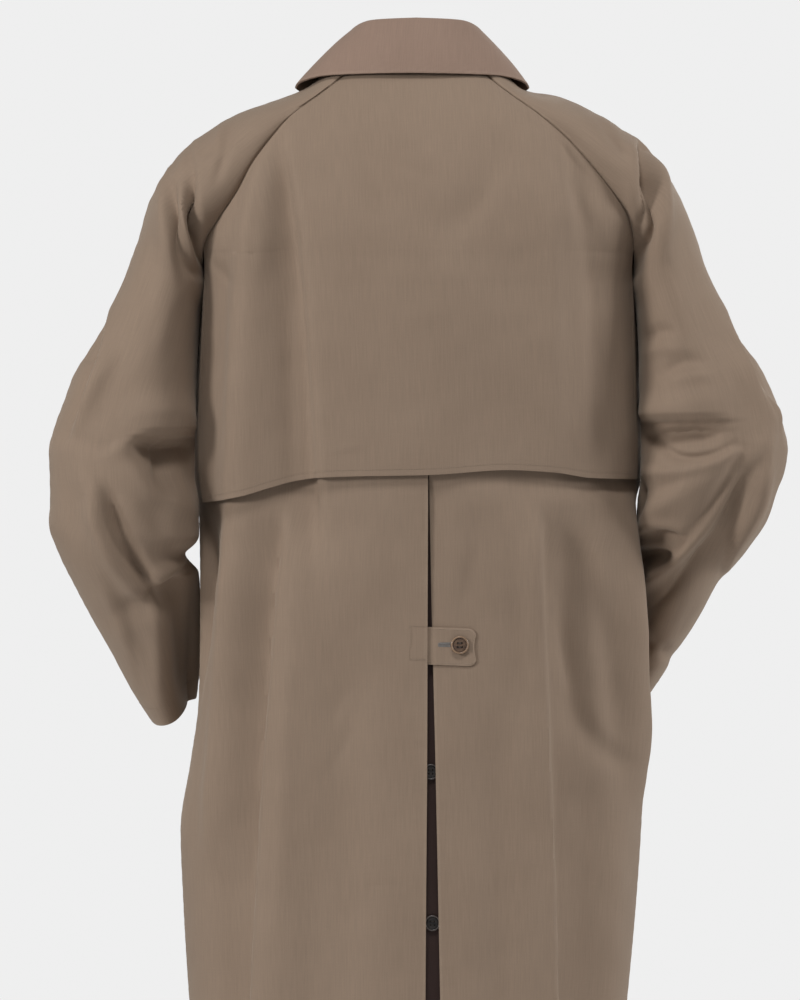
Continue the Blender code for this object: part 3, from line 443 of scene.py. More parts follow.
MATERIALS.update({spec.name: make_horn(spec) for spec in HORNS})
MATERIALS.update({spec.name: make_thread(spec) for spec in THREADS})
print("materials:", len(MATERIALS))

# %% [markdown]
# ## The form: curves through short tables
# A worn coat has no straight line, but its form still follows a few measured sections. Each
# table below has a row for each section, in millimetres. A smooth curve that never
# overshoots runs through a table's column, so a panel can have as many rows as it needs.

# %% Curves through tables
CLOTH = 2.0 * MM              # wall of the doubled cotton cloth
SEAM_GAP = 0.3 * MM
HEM_Z = -1.147


def column(table, name):
    """One named column of a table, in metres."""
    return np.array([getattr(row, name) for row in table]) * MM


def glide(at, places, values):
    """Smooth, never overshooting curve through values at rising places."""
    places = np.asarray(places, float)
    values = np.asarray(values, float)
    steps = np.diff(places)
    slopes = np.diff(values) / steps
    tangents = np.zeros(len(values))
    tangents[0] = slopes[0]
    tangents[-1] = slopes[-1]
    for i in range(1, len(values) - 1):
        if slopes[i - 1] * slopes[i] > 0.0:
            ahead = 2.0 * steps[i] + steps[i - 1]
            behind = steps[i] + 2.0 * steps[i - 1]
            tangents[i] = (ahead + behind) / (ahead / slopes[i - 1] + behind / slopes[i])
    at = np.clip(np.asarray(at, float), places[0], places[-1])
    k = np.clip(np.searchsorted(places, at) - 1, 0, len(steps) - 1)
    t = (at - places[k]) / steps[k]
    h = steps[k]
    return ((1 + 2 * t) * (1 - t) ** 2 * values[k] + t * (1 - t) ** 2 * h * tangents[k]
            + t * t * (3 - 2 * t) * values[k + 1] + t * t * (t - 1) * h * tangents[k + 1])


def read(table, name, z):
    """A column of a table that runs down in z, at height z."""
    return glide(-np.asarray(z), -column(table, "z"), column(table, name))


def spread(table, name, at):
    """A column of a table at row numbers, which may lie between its rows."""
    return glide(at, np.arange(len(table)), column(table, name))


def ease(t):
    """0 to 1 with soft ends."""
    t = np.clip(t, 0.0, 1.0)
    return t * t * (3.0 - 2.0 * t)


def unit(vectors):
    """Vectors of length 1 that point the same ways."""
    return vectors / np.maximum(np.linalg.norm(vectors, axis=-1, keepdims=True), 1e-12)


print("a quarter of the way along, a soft step has risen by", float(ease(0.25)))

# %% [markdown]
# ## The form: creases
# A crease is a bowed line with a height that fades at its ends. Its two sides may differ in width: cloth
# that tips over itself has one steep side and one soft one. The main lines are those of the packed walls,
# and shorter ones are added here, placed one by one from what the cloth does at the shoulder blades, elbows
# and vent. A few long low waves keep the rest from looking machined.

# %% Creases and waves
# left and right are the widths of a crease's sides where it runs down, and below and
# above it where it runs to +X; bend moves its middle to the right, or up.
Fold = namedtuple("Fold", "x0 z0 x1 z1 bend left right depth")
FOLD_GAIN = 1.35              # soft light flattens folds, so they are a third deeper than they look
Wave = namedtuple("Wave", "turn_deg length height start")
WAVES = [
    Wave(8, 143, 0.55, 0.4), Wave(97, 211, 0.5, 2.1), Wave(-24, 88, 0.28, 1.3),
    Wave(61, 67, 0.2, 4.0), Wave(131, 49, 0.12, 5.2), Wave(-71, 37, 0.08, 0.9),
]


def press(points, folds):
    """How far the folds push each point outwards (+) or inwards (-)."""
    push = np.zeros(points.shape[:-1])
    seen = points[..., [0, 2]]
    for fold in folds:
        start = np.array([fold.x0, fold.z0]) * MM
        run = np.array([fold.x1, fold.z1]) * MM - start
        length = np.linalg.norm(run)
        along = ((seen - start) @ run) / length
        across = (seen - start) @ np.array([-run[1], run[0]]) / length
        share = np.clip(along / length, 0.0, 1.0)
        across = across - 4.0 * fold.bend * MM * share * (1.0 - share)
        taper = min(0.35 * length, 60 * MM)
        ends = ease((along + taper) / (2 * taper)) * ease((length + taper - along) / (2 * taper))
        width = np.where(across > 0.0, fold.right, fold.left) * MM
        push += FOLD_GAIN * fold.depth * MM * ends * np.exp(-(across / width) ** 2)
    return push


def ripple(points):
    """Long low waves, a few tenths of a millimetre high."""
    push = np.zeros(points.shape[:-1])
    for wave in WAVES:
        turn = np.radians(wave.turn_deg)
        way = points[..., 0] * np.cos(turn) + points[..., 2] * np.sin(turn) + 0.6 * points[..., 1]
        push += wave.height * MM * np.sin(2.0 * np.pi * way / (wave.length * MM) + wave.start)
    return push


print("waves:", len(WAVES), "of", min(w.length for w in WAVES), "to", max(w.length for w in WAVES), "mm")

# %% [markdown]
# ## The form: panels, seams and walls
# A panel is a grid of points on the cloth's outer face. Two panels that are sewn together
# share their edge points, then each is drawn back by a hair, and a shallow groove with a
# little puckering runs beside the seam. The wall is closed round its rim, so the cloth has
# a thickness wherever an edge shows. The UV map holds metres of cloth along each panel.

# %% Panels
class Panel:
    """A grid of points on a cloth panel's outer face, with normals that point outwards."""

    def __init__(self, points, inside):
        self.points = points
        self.normals = self.face_normals(points, inside)
        self.edge = np.zeros(points.shape[:2])

    @staticmethod
    def face_normals(points, inside):
        normals = unit(np.cross(np.gradient(points, axis=1), np.gradient(points, axis=0)))
        return normals if np.sum(normals * (points - inside)) > 0 else -normals

    def push(self, amount):
        """Move the points along their normals and work the normals out again."""
        moved = self.points + self.normals * np.asarray(amount)[..., None]
        self.normals = self.face_normals(moved, moved - self.normals)
        self.points = moved

    def metres(self):
        """Length of cloth along the rows and down the columns, at every point."""
        across = np.linalg.norm(np.diff(self.points, axis=1), axis=-1)
        down = np.linalg.norm(np.diff(self.points, axis=0), axis=-1)
        u = np.concatenate([np.zeros((len(self.points), 1)), np.cumsum(across, axis=1)], axis=1)
        v = np.concatenate([np.zeros((1, self.points.shape[1])), np.cumsum(down, axis=0)])
        return u, v


print("what a panel can do:", [word for word in vars(Panel) if not word.startswith("_")])

# %% Grooves beside the seams
EDGE_STEPS = np.array([0.0035, 0.007, 0.012])   # shares of a row, close to a seam
SEAM_DIP = 1.3 * MM
FLAT_SEAM_DIP = 0.1 * MM      # where the seam is seen against the background
SEAM_WIDE = 1.2 * MM
FLAT_ROWS = 10                # rows over which the dip grows flat
PUCKER = 0.22 * MM
PUCKER_STEP = 17.0 * MM
PUCKER_DRIFT = 0.031          # metres over which the puckers drift to and fro
PUCKER_REACH = 9.0 * MM
EDGE_LINE_AT = 1.8 * MM          # distance from the seam of the pale line, painted edge highlight with rubbed wear
EDGE_LINE_WIDE = 1.3 * MM


def to_seam(count, both=False):
    """Shares from 0 to 1 that crowd together by the seam at 1, and at 0 too if both."""
    even = np.linspace(0.0, 1.0, count + 1)
    close = EDGE_STEPS[-1] + 0.35 / count
    shares = np.concatenate([even[even < 1.0 - close], 1.0 - EDGE_STEPS[::-1], [1.0]])
    if both:
        shares = np.concatenate([[0.0], EDGE_STEPS, shares[shares > close]])
    return shares


def groove(panel, edges, dip=SEAM_DIP, flat_from=None):
    """Sink the panel beside its seams or folded edges, pucker it, and mark the pale line of painted edge
    highlight and rubbed wear.
    """
    u, v = panel.metres()
    push = np.zeros(u.shape)
    if flat_from is not None:
        rows = np.arange(len(u))[:, None]
        dip = dip + (FLAT_SEAM_DIP - dip) * ease((rows - flat_from + FLAT_ROWS) / FLAT_ROWS)
    for edge in edges:
        away = {"left": u, "right": u[:, -1:] - u, "top": v, "bottom": v[-1:] - v}[edge]
        along = v if edge in ("left", "right") else u
        push -= dip * np.exp(-(away / SEAM_WIDE) ** 2)
        waves = np.sin(2 * np.pi * along / PUCKER_STEP + 2.0 * np.sin(along / PUCKER_DRIFT))
        push += PUCKER * waves * np.exp(-away / PUCKER_REACH) * ease(away / (1.5 * MM))
        # This pale line is painted edge highlight with rubbed wear.
        panel.edge = np.maximum(panel.edge, np.exp(-((away - EDGE_LINE_AT) / EDGE_LINE_WIDE) ** 2))
    panel.push(push)


print("a row of 66 steps has", len(to_seam(66)), "points, close together by the seam")

# %% Sewing two edges
ALIKE = 0.3                   # edges whose faces turn less than this apart share a wall direction


def edge_of(edge, first=0, last=None):
    """Index of a run of a panel's edge."""
    run = slice(first, last)
    return {"left": (run, 0), "right": (run, -1), "top": (0, run), "bottom": (-1, run)}[edge]


def sew(panel_a, run_a, panel_b, run_b):
    """Give two edges the same points, and the same wall direction where they lie flat."""
    middle = (panel_a.points[run_a] + panel_b.points[run_b]) / 2
    normal_a = panel_a.normals[run_a].copy()
    normal_b = panel_b.normals[run_b].copy()
    shared = unit(normal_a + normal_b)
    flat = np.sum(normal_a * normal_b, axis=-1, keepdims=True) > ALIKE
    panel_a.points[run_a] = middle
    panel_b.points[run_b] = middle
    panel_a.normals[run_a] = np.where(flat, shared, normal_a)
    panel_b.normals[run_b] = np.where(flat, shared, normal_b)


def draw_back(panel, edges):
    """Pull the named edges back from the seam by half its gap."""
    moved = panel.points.copy()
    steps = {"left": (np.s_[:, 0], np.s_[:, 1]), "right": (np.s_[:, -1], np.s_[:, -2]),
             "top": (np.s_[0, :], np.s_[1, :]), "bottom": (np.s_[-1, :], np.s_[-2, :])}
    for edge in edges:
        here, next_in = steps[edge]
        moved[here] += SEAM_GAP / 2 * unit(panel.points[next_in] - panel.points[here])
    panel.points = moved


print("gap at a sewn seam:", SEAM_GAP / MM, "mm")

# %% Walls
SHARP_TURN = 1.0              # radians: a wall's rim is sharper, its folds are softer


def close_mesh(name, verts, faces, uv_at, edge_at, material):
    """A mesh from points and faces, with the cloth UV map and the edge attribute."""
    mesh = bpy.data.meshes.new(name)
    mesh.from_pydata(verts.tolist(), [], faces.tolist())
    corners = np.zeros(len(mesh.loops), dtype=np.int32)
    mesh.loops.foreach_get("vertex_index", corners)
    layer = mesh.uv_layers.new(name="cloth")
    layer.data.foreach_set("uv", uv_at[corners].astype(np.float32).ravel())
    mark = mesh.attributes.new("edge", "FLOAT", "POINT")
    mark.data.foreach_set("value", edge_at.astype(np.float32).ravel())
    mesh.materials.append(MATERIALS[material])
    mesh.shade_smooth()
    mesh.set_sharp_from_angle(angle=SHARP_TURN)
    obj = bpy.data.objects.new(name, mesh)
    bpy.context.scene.collection.objects.link(obj)
    return obj


def make_wall(name, panel, material="gabardine", grain=0):
    """Close a panel into a thin wall of cloth; its warp runs along the column called grain."""
    outer = panel.points
    inner = outer - panel.normals * CLOTH
    rows, cols = outer.shape[:2]
    index = np.arange(rows * cols).reshape(rows, cols)
    quads = np.stack([index[:-1, :-1], index[:-1, 1:], index[1:, 1:], index[1:, :-1]], axis=-1)
    rim = np.concatenate([index[0], index[1:, -1], index[-1, -2::-1], index[-2:0:-1, 0]])
    after = np.roll(rim, -1)
    below = rows * cols
    sides = np.stack([rim, rim + below, after + below, after], axis=-1)
    quads = quads.reshape(-1, 4)
    faces = np.concatenate([quads, quads[:, ::-1] + below, sides])
    r, c = rows // 2, cols // 2
    turn = np.cross(outer[r, c + 1] - outer[r, c], outer[r + 1, c] - outer[r, c])
    if np.dot(turn, panel.normals[r, c]) < 0:
        faces = faces[:, ::-1]
    u, v = panel.metres()
    warp = u[:, [grain]]
    weft = np.repeat(v.mean(axis=1, keepdims=True), cols, axis=1)
    uv = np.stack([u - warp, -weft], axis=-1).reshape(-1, 2)
    verts = np.concatenate([outer.reshape(-1, 3), inner.reshape(-1, 3)])
    edge = panel.edge.ravel()
    return close_mesh(name, verts, faces, np.concatenate([uv, uv]), np.concatenate([edge, edge]), material)


def take_place(obj, node, panel):
    """The shell stands for its packed node, which is hidden, and rides on the root body."""
    u, v = panel.metres()
    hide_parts(node)
    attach(obj, "root")


print("thickness of the walls:", CLOTH / MM, "mm")

# %% [markdown]
# ## The back: sections of yoke and body
# The raglan seam runs from the neck to the armpit, and each row of the yoke tables is a
# point of it, with the height and depth of the panel's middle in the same row. Below the
# armpits the body is a tube. Its side seams swing forwards and back as the cloth swings.

# %% Sections of the yoke
YokeRow = namedtuple("YokeRow", "seam_z left_x right_x seam_y mid_z mid_y round_deg")
BACK_YOKE = [
    YokeRow(1, -58, 54, -47, 0, -70, 55),
    YokeRow(-23, -86.8, 80.5, -62, -24, -86, 50),
    YokeRow(-45, -115.7, 109, -74, -48, -101, 48),
    YokeRow(-67, -145, 139.5, -83, -72, -114, 48),
    YokeRow(-93, -167.9, 169.5, -90, -98, -126, 50),
    YokeRow(-124, -190.9, 197.5, -93, -127, -137, 54),
    YokeRow(-155, -207.5, 222, -90, -157, -146, 60),
    YokeRow(-185, -227.7, 241, -80, -186, -152, 66),
    YokeRow(-211, -243, 246.5, -63, -211, -156, 72),
    YokeRow(-224, -246, 247, -50, -224, -157, 76),
    YokeRow(-238, -246, 246.5, -34, -238, -158, 80),
    YokeRow(-251, -243.5, 244, -17, -251, -159, 85),
    YokeRow(-262, -240, 241, 0, -262, -160, 90),
]
FRONT_YOKE = [
    YokeRow(-22, -60, 56, 44, -72, 80, 58),
    YokeRow(-40, -82, 76, 62, -88, 92, 52),
    YokeRow(-59, -106, 99, 75, -104, 103, 50),
    YokeRow(-80, -131, 126, 86, -121, 113, 50),
    YokeRow(-103, -152, 152, 93, -138, 121, 52),
    YokeRow(-130, -174, 178, 96, -158, 128, 56),
    YokeRow(-158, -193, 202, 93, -179, 134, 62),
    YokeRow(-186, -212, 221, 82, -200, 139, 68),
    YokeRow(-211, -229, 233, 64, -220, 143, 73),
    YokeRow(-224, -236, 238, 51, -231, 145, 77),
    YokeRow(-238, -240, 241, 35, -242, 147, 81),
    YokeRow(-251, -241, 242, 18, -253, 149, 85),
    YokeRow(-262, -240, 241, 0, -262, 150, 90),
]
ARMPIT_ROW = len(BACK_YOKE) - 1
print("rows of the yoke tables:", len(BACK_YOKE), "and", len(FRONT_YOKE))

# %% Sections of the body
BodyRow = namedtuple("BodyRow", "z left_x right_x left_y right_y back_y front_y")
BODY = [
    BodyRow(-262, -240, 241, 0, 0, -160, 150),
    BodyRow(-280, -248, 248, 7, 7, -161, 152),
    BodyRow(-300, -252, 252, 15, 15, -162, 155),
    BodyRow(-330, -255, 255, 24, 24, -162, 157),
    BodyRow(-380, -257, 257, 30, 30, -161, 160),
    BodyRow(-450, -258, 257.5, 30, 28, -160, 164),
    BodyRow(-480, -257.5, 257, 27, 18, -159, 165),
    BodyRow(-512, -252.5, 250, 10, -40, -158, 166),
    BodyRow(-554, -251, 254, -10, -58, -156, 168),
    BodyRow(-600, -250, 259.5, -46, -56, -156, 171),
    BodyRow(-629, -250, 261.5, -50, -50, -156, 173),
    BodyRow(-692, -250.5, 263, -42, -34, -158, 178),
    BodyRow(-740, -252, 262, -30, -22, -160, 181),
    BodyRow(-807, -261, 260, -14, -10, -164, 186),
    BodyRow(-888, -273, 256.5, 0, 0, -169, 191),
    BodyRow(-968, -270, 251, 0, 0, -174, 196),
    BodyRow(-1083, -263, 240.5, 0, 0, -181, 203),
    BodyRow(-1147, -258, 234, 0, 0, -185, 207),
]
print("rows of the body table:", len(BODY))

# %% Vent and rows
VentRow = namedtuple("VentRow", "z left_edge_x right_edge_x")
VENT = [
    VentRow(0, -2, -1.7),
    VentRow(-160, 3, 3.3),
    VentRow(-320, 8, 8.3),
    VentRow(-478, 11.5, 12.2),
    VentRow(-623, 11, 15),
    VentRow(-807, 10.4, 19.6),
    VentRow(-968, 9.2, 23),
    VentRow(-1147, 8, 26.5),
]
TUBE_TURNS = 188              # fine rows below the armpit
TUBE_Z = BODY[0].z * MM + (HEM_Z - BODY[0].z * MM) * np.linspace(0.0, 1.0, TUBE_TURNS + 1)[1:]
SECTION_STEP = 7              # fine rows between two rows of a yoke table
ARMPIT = SECTION_STEP * ARMPIT_ROW
YOKE_AT = np.arange(ARMPIT + 1) / SECTION_STEP
BACK_STEPS = 66
FRONT_STEPS = 52
LAP_STEPS = 14
BACK_SHARES = to_seam(BACK_STEPS, both=True)
FRONT_SHARES = to_seam(FRONT_STEPS)
LAP_SHARES = np.linspace(1.0, 0.0, LAP_STEPS + 1)[:-1]


def centre_back(z):
    """The left half's edge, which is the centre back seam above the vent."""
    return read(VENT, "left_edge_x", z)


def vent_edge(z):
    """The right half's edge, which swings away from the left one below the vent's top."""
    return read(VENT, "right_edge_x", z)


def centre_front(z):
    return 0.0 * z


print("rows of a half panel:", len(YOKE_AT) + len(TUBE_Z), "columns:", len(BACK_SHARES))

# %% Half a back or front
FAR_REACH = 0.9               # a row's start stays within this sine of its arc


def half_rows(yoke, side, edge_y, middle, start, shares, lap=()):
    """Grid of half the back or front: each row is an arc of an ellipse out to the seam."""
    seam_x = np.concatenate([spread(yoke, side + "_x", YOKE_AT), read(BODY, side + "_x", TUBE_Z)])[:, None]
    seam_y = np.concatenate([spread(yoke, "seam_y", YOKE_AT), read(BODY, side + "_y", TUBE_Z)])[:, None]
    seam_z = np.concatenate([spread(yoke, "seam_z", YOKE_AT), TUBE_Z])[:, None]
    mid_y = np.concatenate([spread(yoke, "mid_y", YOKE_AT), read(BODY, edge_y, TUBE_Z)])[:, None]
    mid_z = np.concatenate([spread(yoke, "mid_z", YOKE_AT), TUBE_Z])[:, None]
    round_deg = np.concatenate([spread(yoke, "round_deg", YOKE_AT) / MM, 90.0 + 0.0 * TUBE_Z])[:, None]
    turn = np.radians(round_deg)
    mid_x = middle(mid_z)
    reach = (start(mid_z) - mid_x) / (seam_x - mid_x) * np.sin(turn)
    first = np.arcsin(np.clip(reach, -FAR_REACH, FAR_REACH))
    if len(lap):
        angles = np.concatenate([first * lap, turn * shares], axis=1)
    else:
        angles = first + (turn - first) * shares
    level = (np.cos(angles) - np.cos(turn)) / (1.0 - np.cos(turn))
    x = mid_x + (seam_x - mid_x) * np.sin(angles) / np.sin(turn)
    return np.stack([x, seam_y + (mid_y - seam_y) * level, seam_z + (mid_z - seam_z) * level], axis=-1)


plain_half = half_rows(BACK_YOKE, "left", "back_y", centre_back, centre_back, BACK_SHARES)
print("half a back before its folds:", plain_half.shape[:2], "points")

# %% [markdown]
# ## The back: folds
# Seen from behind, the cape has a deep trough under the left shoulder blade, with a soft
# left side and a crisp right one, and a shallower one on the right. The skirt carries both
# on down to the hem. Between them are short, faint creases, where the cloth was sat on and
# folded away.

# %% Folds of the back
CAPE_FOLDS = [
    Fold(-158, -108, -122, -600, 9, 32, 9, -15),
    Fold(-172, -104, -202, -600, -8, 18, 26, 13),
    Fold(-230, -290, -232, -500, 0, 10, 12, -2),
    Fold(-122, -330, -118, -480, 0, 6, 22, 2),
    Fold(-74, -104, -36, -172, 0, 22, 22, -4),
    Fold(102, -94, 38, -204, 8, 24, 16, -5),
    Fold(148, -180, 150, -470, 0, 20, 15, 4),
    Fold(176, -104, 205, -470, 12, 14, 18, -6),
]
SKIRT_FOLDS = [
    Fold(-154, -470, -202, -1130, -6, 34, 6, -12),
    Fold(-206, -470, -236, -900, 0, 12, 28, 11),
    Fold(-240, -470, -252, -700, 0, 9, 13, -13),
    Fold(-136, -600, -176, -1130, 0, 20, 34, 5),
    Fold(-80, -700, -92, -1130, 0, 34, 34, -5),
    Fold(134, -480, 156, -1140, 2, 34, 6, 8),
    Fold(143, -480, 165, -1140, 2, 6, 30, -6),
    Fold(172, -490, 182, -780, 0, 18, 28, -9),
    Fold(182, -745, 238, -812, -6, 16, 12, -4.5),
    Fold(250, -600, 258, -830, 0, 20, 8, 9),
    Fold(216, -620, 232, -800, 0, 14, 14, -5),
    Fold(195, -800, 186, -1130, 0, 26, 22, -6),
    Fold(66, -490, 54, -640, 0, 16, 20, -3),
    Fold(92, -760, 98, -1130, 0, 26, 22, -5),
]
print("main folds of the cape and the skirt:", len(CAPE_FOLDS), "and", len(SKIRT_FOLDS))

# %% Creases of the back
CAPE_CREASES = [
    Fold(-150, -290, -146, -500, 0, 9, 7, -1.6),
    Fold(-215, -232, -214, -440, 0, 9, 7, -1.6),
    Fold(-176, -140, -186, -250, 2, 9, 6, -1.6),
    Fold(-60, -230, -52, -430, 4, 30, 26, -1.2),
    Fold(28, -240, 34, -470, 0, 30, 24, 1.0),
    Fold(90, -230, 84, -472, -6, 22, 26, -1.4),
    Fold(196, -200, 214, -330, 0, 9, 12, 2.0),
    Fold(222, -300, 226, -470, 0, 10, 9, -1.6),
    Fold(170, -130, 186, -190, 0, 6, 10, -1.6),
    Fold(-232, -236, -206, -262, 0, 5, 8, -1.4),
    Fold(-28, -130, 18, -142, 3, 6, 8, -0.7),
    Fold(-96, -452, -64, -446, 0, 4, 5, 0.5),
]
SKIRT_CREASES = [
    Fold(-114, -496, -120, -640, 0, 16, 20, -1.8),
    Fold(-60, -496, -52, -600, 0, 14, 16, 1.6),
    Fold(-100, -816, -74, -768, 0, 4, 5, -0.9),
    Fold(-96, -770, -70, -726, 0, 5, 4, 0.7),
    Fold(-58, -950, -26, -948, 2, 5, 4, -0.7),
    Fold(-4, -778, 6, -786, 0, 4, 5, 0.8),
    Fold(-226, -880, -214, -1100, 0, 12, 16, -2.4),
    Fold(-236, -620, -246, -760, 0, 5, 9, 2.2),
    Fold(-148, -700, -158, -980, 3, 14, 9, 2.0),
    Fold(-120, -900, -128, -1130, 0, 22, 20, -2.2),
    Fold(40, -540, 52, -630, 2, 9, 12, 1.6),
    Fold(60, -575, 48, -642, 0, 5, 7, -1.3),
    Fold(24, -700, 34, -860, 0, 14, 18, 1.2),
    Fold(112, -560, 120, -760, 0, 16, 12, -2.4),
    Fold(146, -800, 152, -1130, 0, 5, 12, 2.0),
    Fold(160, -620, 196, -760, -4, 8, 12, -2.4),
    Fold(206, -560, 224, -660, 0, 10, 14, 2.4),
    Fold(232, -880, 218, -1120, 0, 12, 14, 2.4),
    Fold(60, -930, 66, -1130, 0, 18, 20, 2.0),
]


CAPE_FOLDS_END = -0.500       # the cape's folds fade out below this height, at its hem
UPPER_FADE = 100.0 * MM
LOWER_FADE = 80.0 * MM


def back_folds(points):
    """Cape folds on top, fading into the skirt's folds below the cape's hem."""
    below = CAPE_FOLDS_END - points[..., 2]
    upper = 1.0 - ease(below / UPPER_FADE)
    lower = ease(below / LOWER_FADE)
    return (press(points, CAPE_FOLDS + CAPE_CREASES) * upper
            + press(points, SKIRT_FOLDS + SKIRT_CREASES) * lower + ripple(points))


print("creases of the cape and the skirt:", len(CAPE_CREASES), "and", len(SKIRT_CREASES))

# %% [markdown]
# ## The back: its two panels
# Both halves start at the centre back, where the right one dips under the left one below
# the vent's top. Under the cape they lie one cloth's thickness deeper, as they are sewn
# into the same seams.

# %% Back panels
VENT_TOP = -0.478
VENT_STEP = 4.8 * MM          # the right panel's vent edge lies this deep
VENT_FADE = 45.0 * MM
VENT_OPENS = VENT_TOP + 60.0 * MM
VENT_OPENING = 100.0 * MM     # height over which the right panel goes down to its full depth
UNDER_CAPE = CLOTH + SEAM_GAP
CAPE_LEAVES_SEAM = 9          # row of the yoke where the cape's side edge comes free
SEAM_ROWS = CAPE_LEAVES_SEAM * SECTION_STEP
CAPE_FREE_Z = BACK_YOKE[CAPE_LEAVES_SEAM].seam_z * MM
FREE_FADE = 140.0 * MM
TOWARDS_CORE = [0.2, 0.0, 1.0]  # a panel's points scaled so, to a line inside the body


def vent_step(points):
    """The right panel dips towards its vent edge so that the tab lies over it."""
    into = (points[..., 0] - vent_edge(points[..., 2])) / VENT_FADE
    opens = ease((VENT_OPENS - points[..., 2]) / VENT_OPENING)
    return -VENT_STEP * (1.0 - ease(into)) * opens


def under_cape(points, shares):
    """Depth of the back panels below the cape, back to the surface below its seam."""
    rows = np.concatenate([YOKE_AT, ARMPIT_ROW + 0.0 * TUBE_Z])
    sunk = np.clip(1.0 - (rows - CAPE_LEAVES_SEAM) / 2.0, 0.0, 1.0)
    inward = ease((0.9 - shares) / 0.3)
    free = ease((CAPE_FREE_Z - points[..., 2]) / FREE_FADE)
    return -UNDER_CAPE * np.maximum(sunk[:, None], inward[None, :] * (1.0 - free))


def quiet_at_seam(shares, width=0.12):
    """0 at the seam, 1 a little way in, so that folds end at the seam."""
    return ease((1.0 - shares) / width)[None, :]


def back_panel(side):
    """Half of the back, from the centre back to the raglan seam and the side seam."""
    start = centre_back if side == "left" else vent_edge
    points = half_rows(BACK_YOKE, side, "back_y", centre_back, start, BACK_SHARES)
    panel = Panel(points, points * TOWARDS_CORE)
    drop = back_folds(points) * quiet_at_seam(BACK_SHARES) + under_cape(points, BACK_SHARES)
    if side == "right":
        drop = drop + vent_step(points)
    panel.push(drop)
    return panel


backs = {side: back_panel(side) for side in ("left", "right")}
print("back panel grid:", backs["left"].points.shape[:2])

# %% [markdown]
# ## The fronts
# The photograph doesn't show the fronts, so they are plain: straight panels that lap at
# the centre, the left one on top, with the deep soft folds that hang from the chest on
# such a coat.

# %% Folds of the fronts
LAP_REACH = 36.0 * MM
FRONT_LAP = 3.9 * MM          # the right half lies this deep under the left one
FRONT_FOLDS = [
    Fold(-150, -300, -165, -1130, 8, 24, 20, -9),
    Fold(-95, -420, -100, -1130, 0, 26, 26, 6),
    Fold(-205, -420, -215, -1130, 0, 18, 18, 6),
    Fold(110, -320, 118, -1130, 10, 20, 26, -9),
    Fold(160, -460, 162, -1130, 0, 24, 24, 7),
    Fold(208, -520, 200, -1130, 0, 18, 18, -6),
]
print("main folds of the fronts:", len(FRONT_FOLDS))

# %% Creases of the fronts
FRONT_CREASES = [
    Fold(-128, -150, -136, -330, 4, 14, 10, -3.0),
    Fold(-178, -210, -190, -420, 0, 12, 10, 3.0),
    Fold(-70, -260, -78, -520, 0, 16, 20, -2.4),
    Fold(-186, -640, -194, -1100, 3, 9, 14, -3.0),
    Fold(-126, -700, -132, -1120, 0, 14, 12, 3.0),
    Fold(-64, -760, -66, -1120, 0, 14, 14, -2.2),
    Fold(96, -150, 104, -300, 0, 12, 12, 3.0),
    Fold(184, -230, 192, -460, -4, 8, 14, -3.2),
    Fold(72, -300, 78, -560, 0, 18, 16, -2.2),
    Fold(138, -720, 142, -1120, 0, 10, 14, 3.0),
    Fold(182, -700, 178, -1120, 4, 14, 10, -3.0),
    Fold(78, -820, 80, -1120, 0, 14, 14, 2.2),
    Fold(-214, -330, -186, -372, 2, 6, 9, -1.8),
    Fold(214, -350, 188, -400, 2, 9, 6, -1.8),
]
print("creases of the fronts:", len(FRONT_CREASES))

# %% Front panels
FOLDS_FROM = 40.0 * MM        # the folds start this far from the centre front
FOLDS_GROW = 40.0 * MM
LAP_FADE = 30.0 * MM
LAP_EASE = 8.0 * MM           # the right half is at its full depth this far past the lap


def front_panel(side):
    """Half of the front, reaching past the centre front to lap the other half."""
    beyond = LAP_REACH if side == "left" else -LAP_REACH
    points = half_rows(FRONT_YOKE, side, "front_y", centre_front, lambda z: beyond + 0.0 * z,
                       FRONT_SHARES, LAP_SHARES)
    panel = Panel(points, points * TOWARDS_CORE)
    shares = np.concatenate([0.0 * LAP_SHARES, FRONT_SHARES])
    from_centre = np.abs(points[..., 0])
    folded = press(points, FRONT_FOLDS + FRONT_CREASES) * ease((from_centre - FOLDS_FROM) / FOLDS_GROW)
    waved = ripple(points) * ease((from_centre - LAP_REACH) / LAP_FADE)
    drop = (folded + waved) * quiet_at_seam(shares)
    if side == "right":
        drop = drop - FRONT_LAP * (1.0 - ease((points[..., 0] - LAP_REACH - LAP_EASE) / LAP_FADE))
    panel.push(drop)
    return panel


fronts = {side: front_panel(side) for side in ("left", "right")}
print("front panel grid:", fronts["left"].points.shape[:2])

# %% [markdown]
# ## The cape
# The cape is one piece over both back panels, sewn into the neck and the raglan seams. Its
# sides and hem hang free, a few millimetres off the back. Above the point where it leaves
# the seam it uses the yoke's own rows, and below it the rows follow its hem.

# %% Cape
CAPE_LIFT = 7.0 * MM
CAPE_FALL = 76                # fine rows below the point where the cape leaves the seam
CAPE_SECTIONS = 9.0           # those rows count as so many rows of a yoke table
CAPE_ARC = 0.965              # the cape's side edge stays within this sine of the body's arc
CapeSide = namedtuple("CapeSide", "z left_x right_x")
CAPE_SIDES = [
    CapeSide(-224, -246, 247),
    CapeSide(-250, -244.5, 245),
    CapeSide(-300, -246.5, 246.5),
    CapeSide(-393, -250.5, 249),
    CapeSide(-436, -252, 250),
    CapeSide(-467, -251.5, 251),
    CapeSide(-512, -246.5, 250.5),
]
CapeHem = namedtuple("CapeHem", "x z")
CAPE_HEM = [
    CapeHem(-250, -512), CapeHem(-194, -503.5), CapeHem(-165, -493.5), CapeHem(-141, -486.5),
    CapeHem(-100, -482), CapeHem(14, -479.5), CapeHem(101, -474), CapeHem(150, -476.5),
    CapeHem(196, -483), CapeHem(252, -484.5),
]


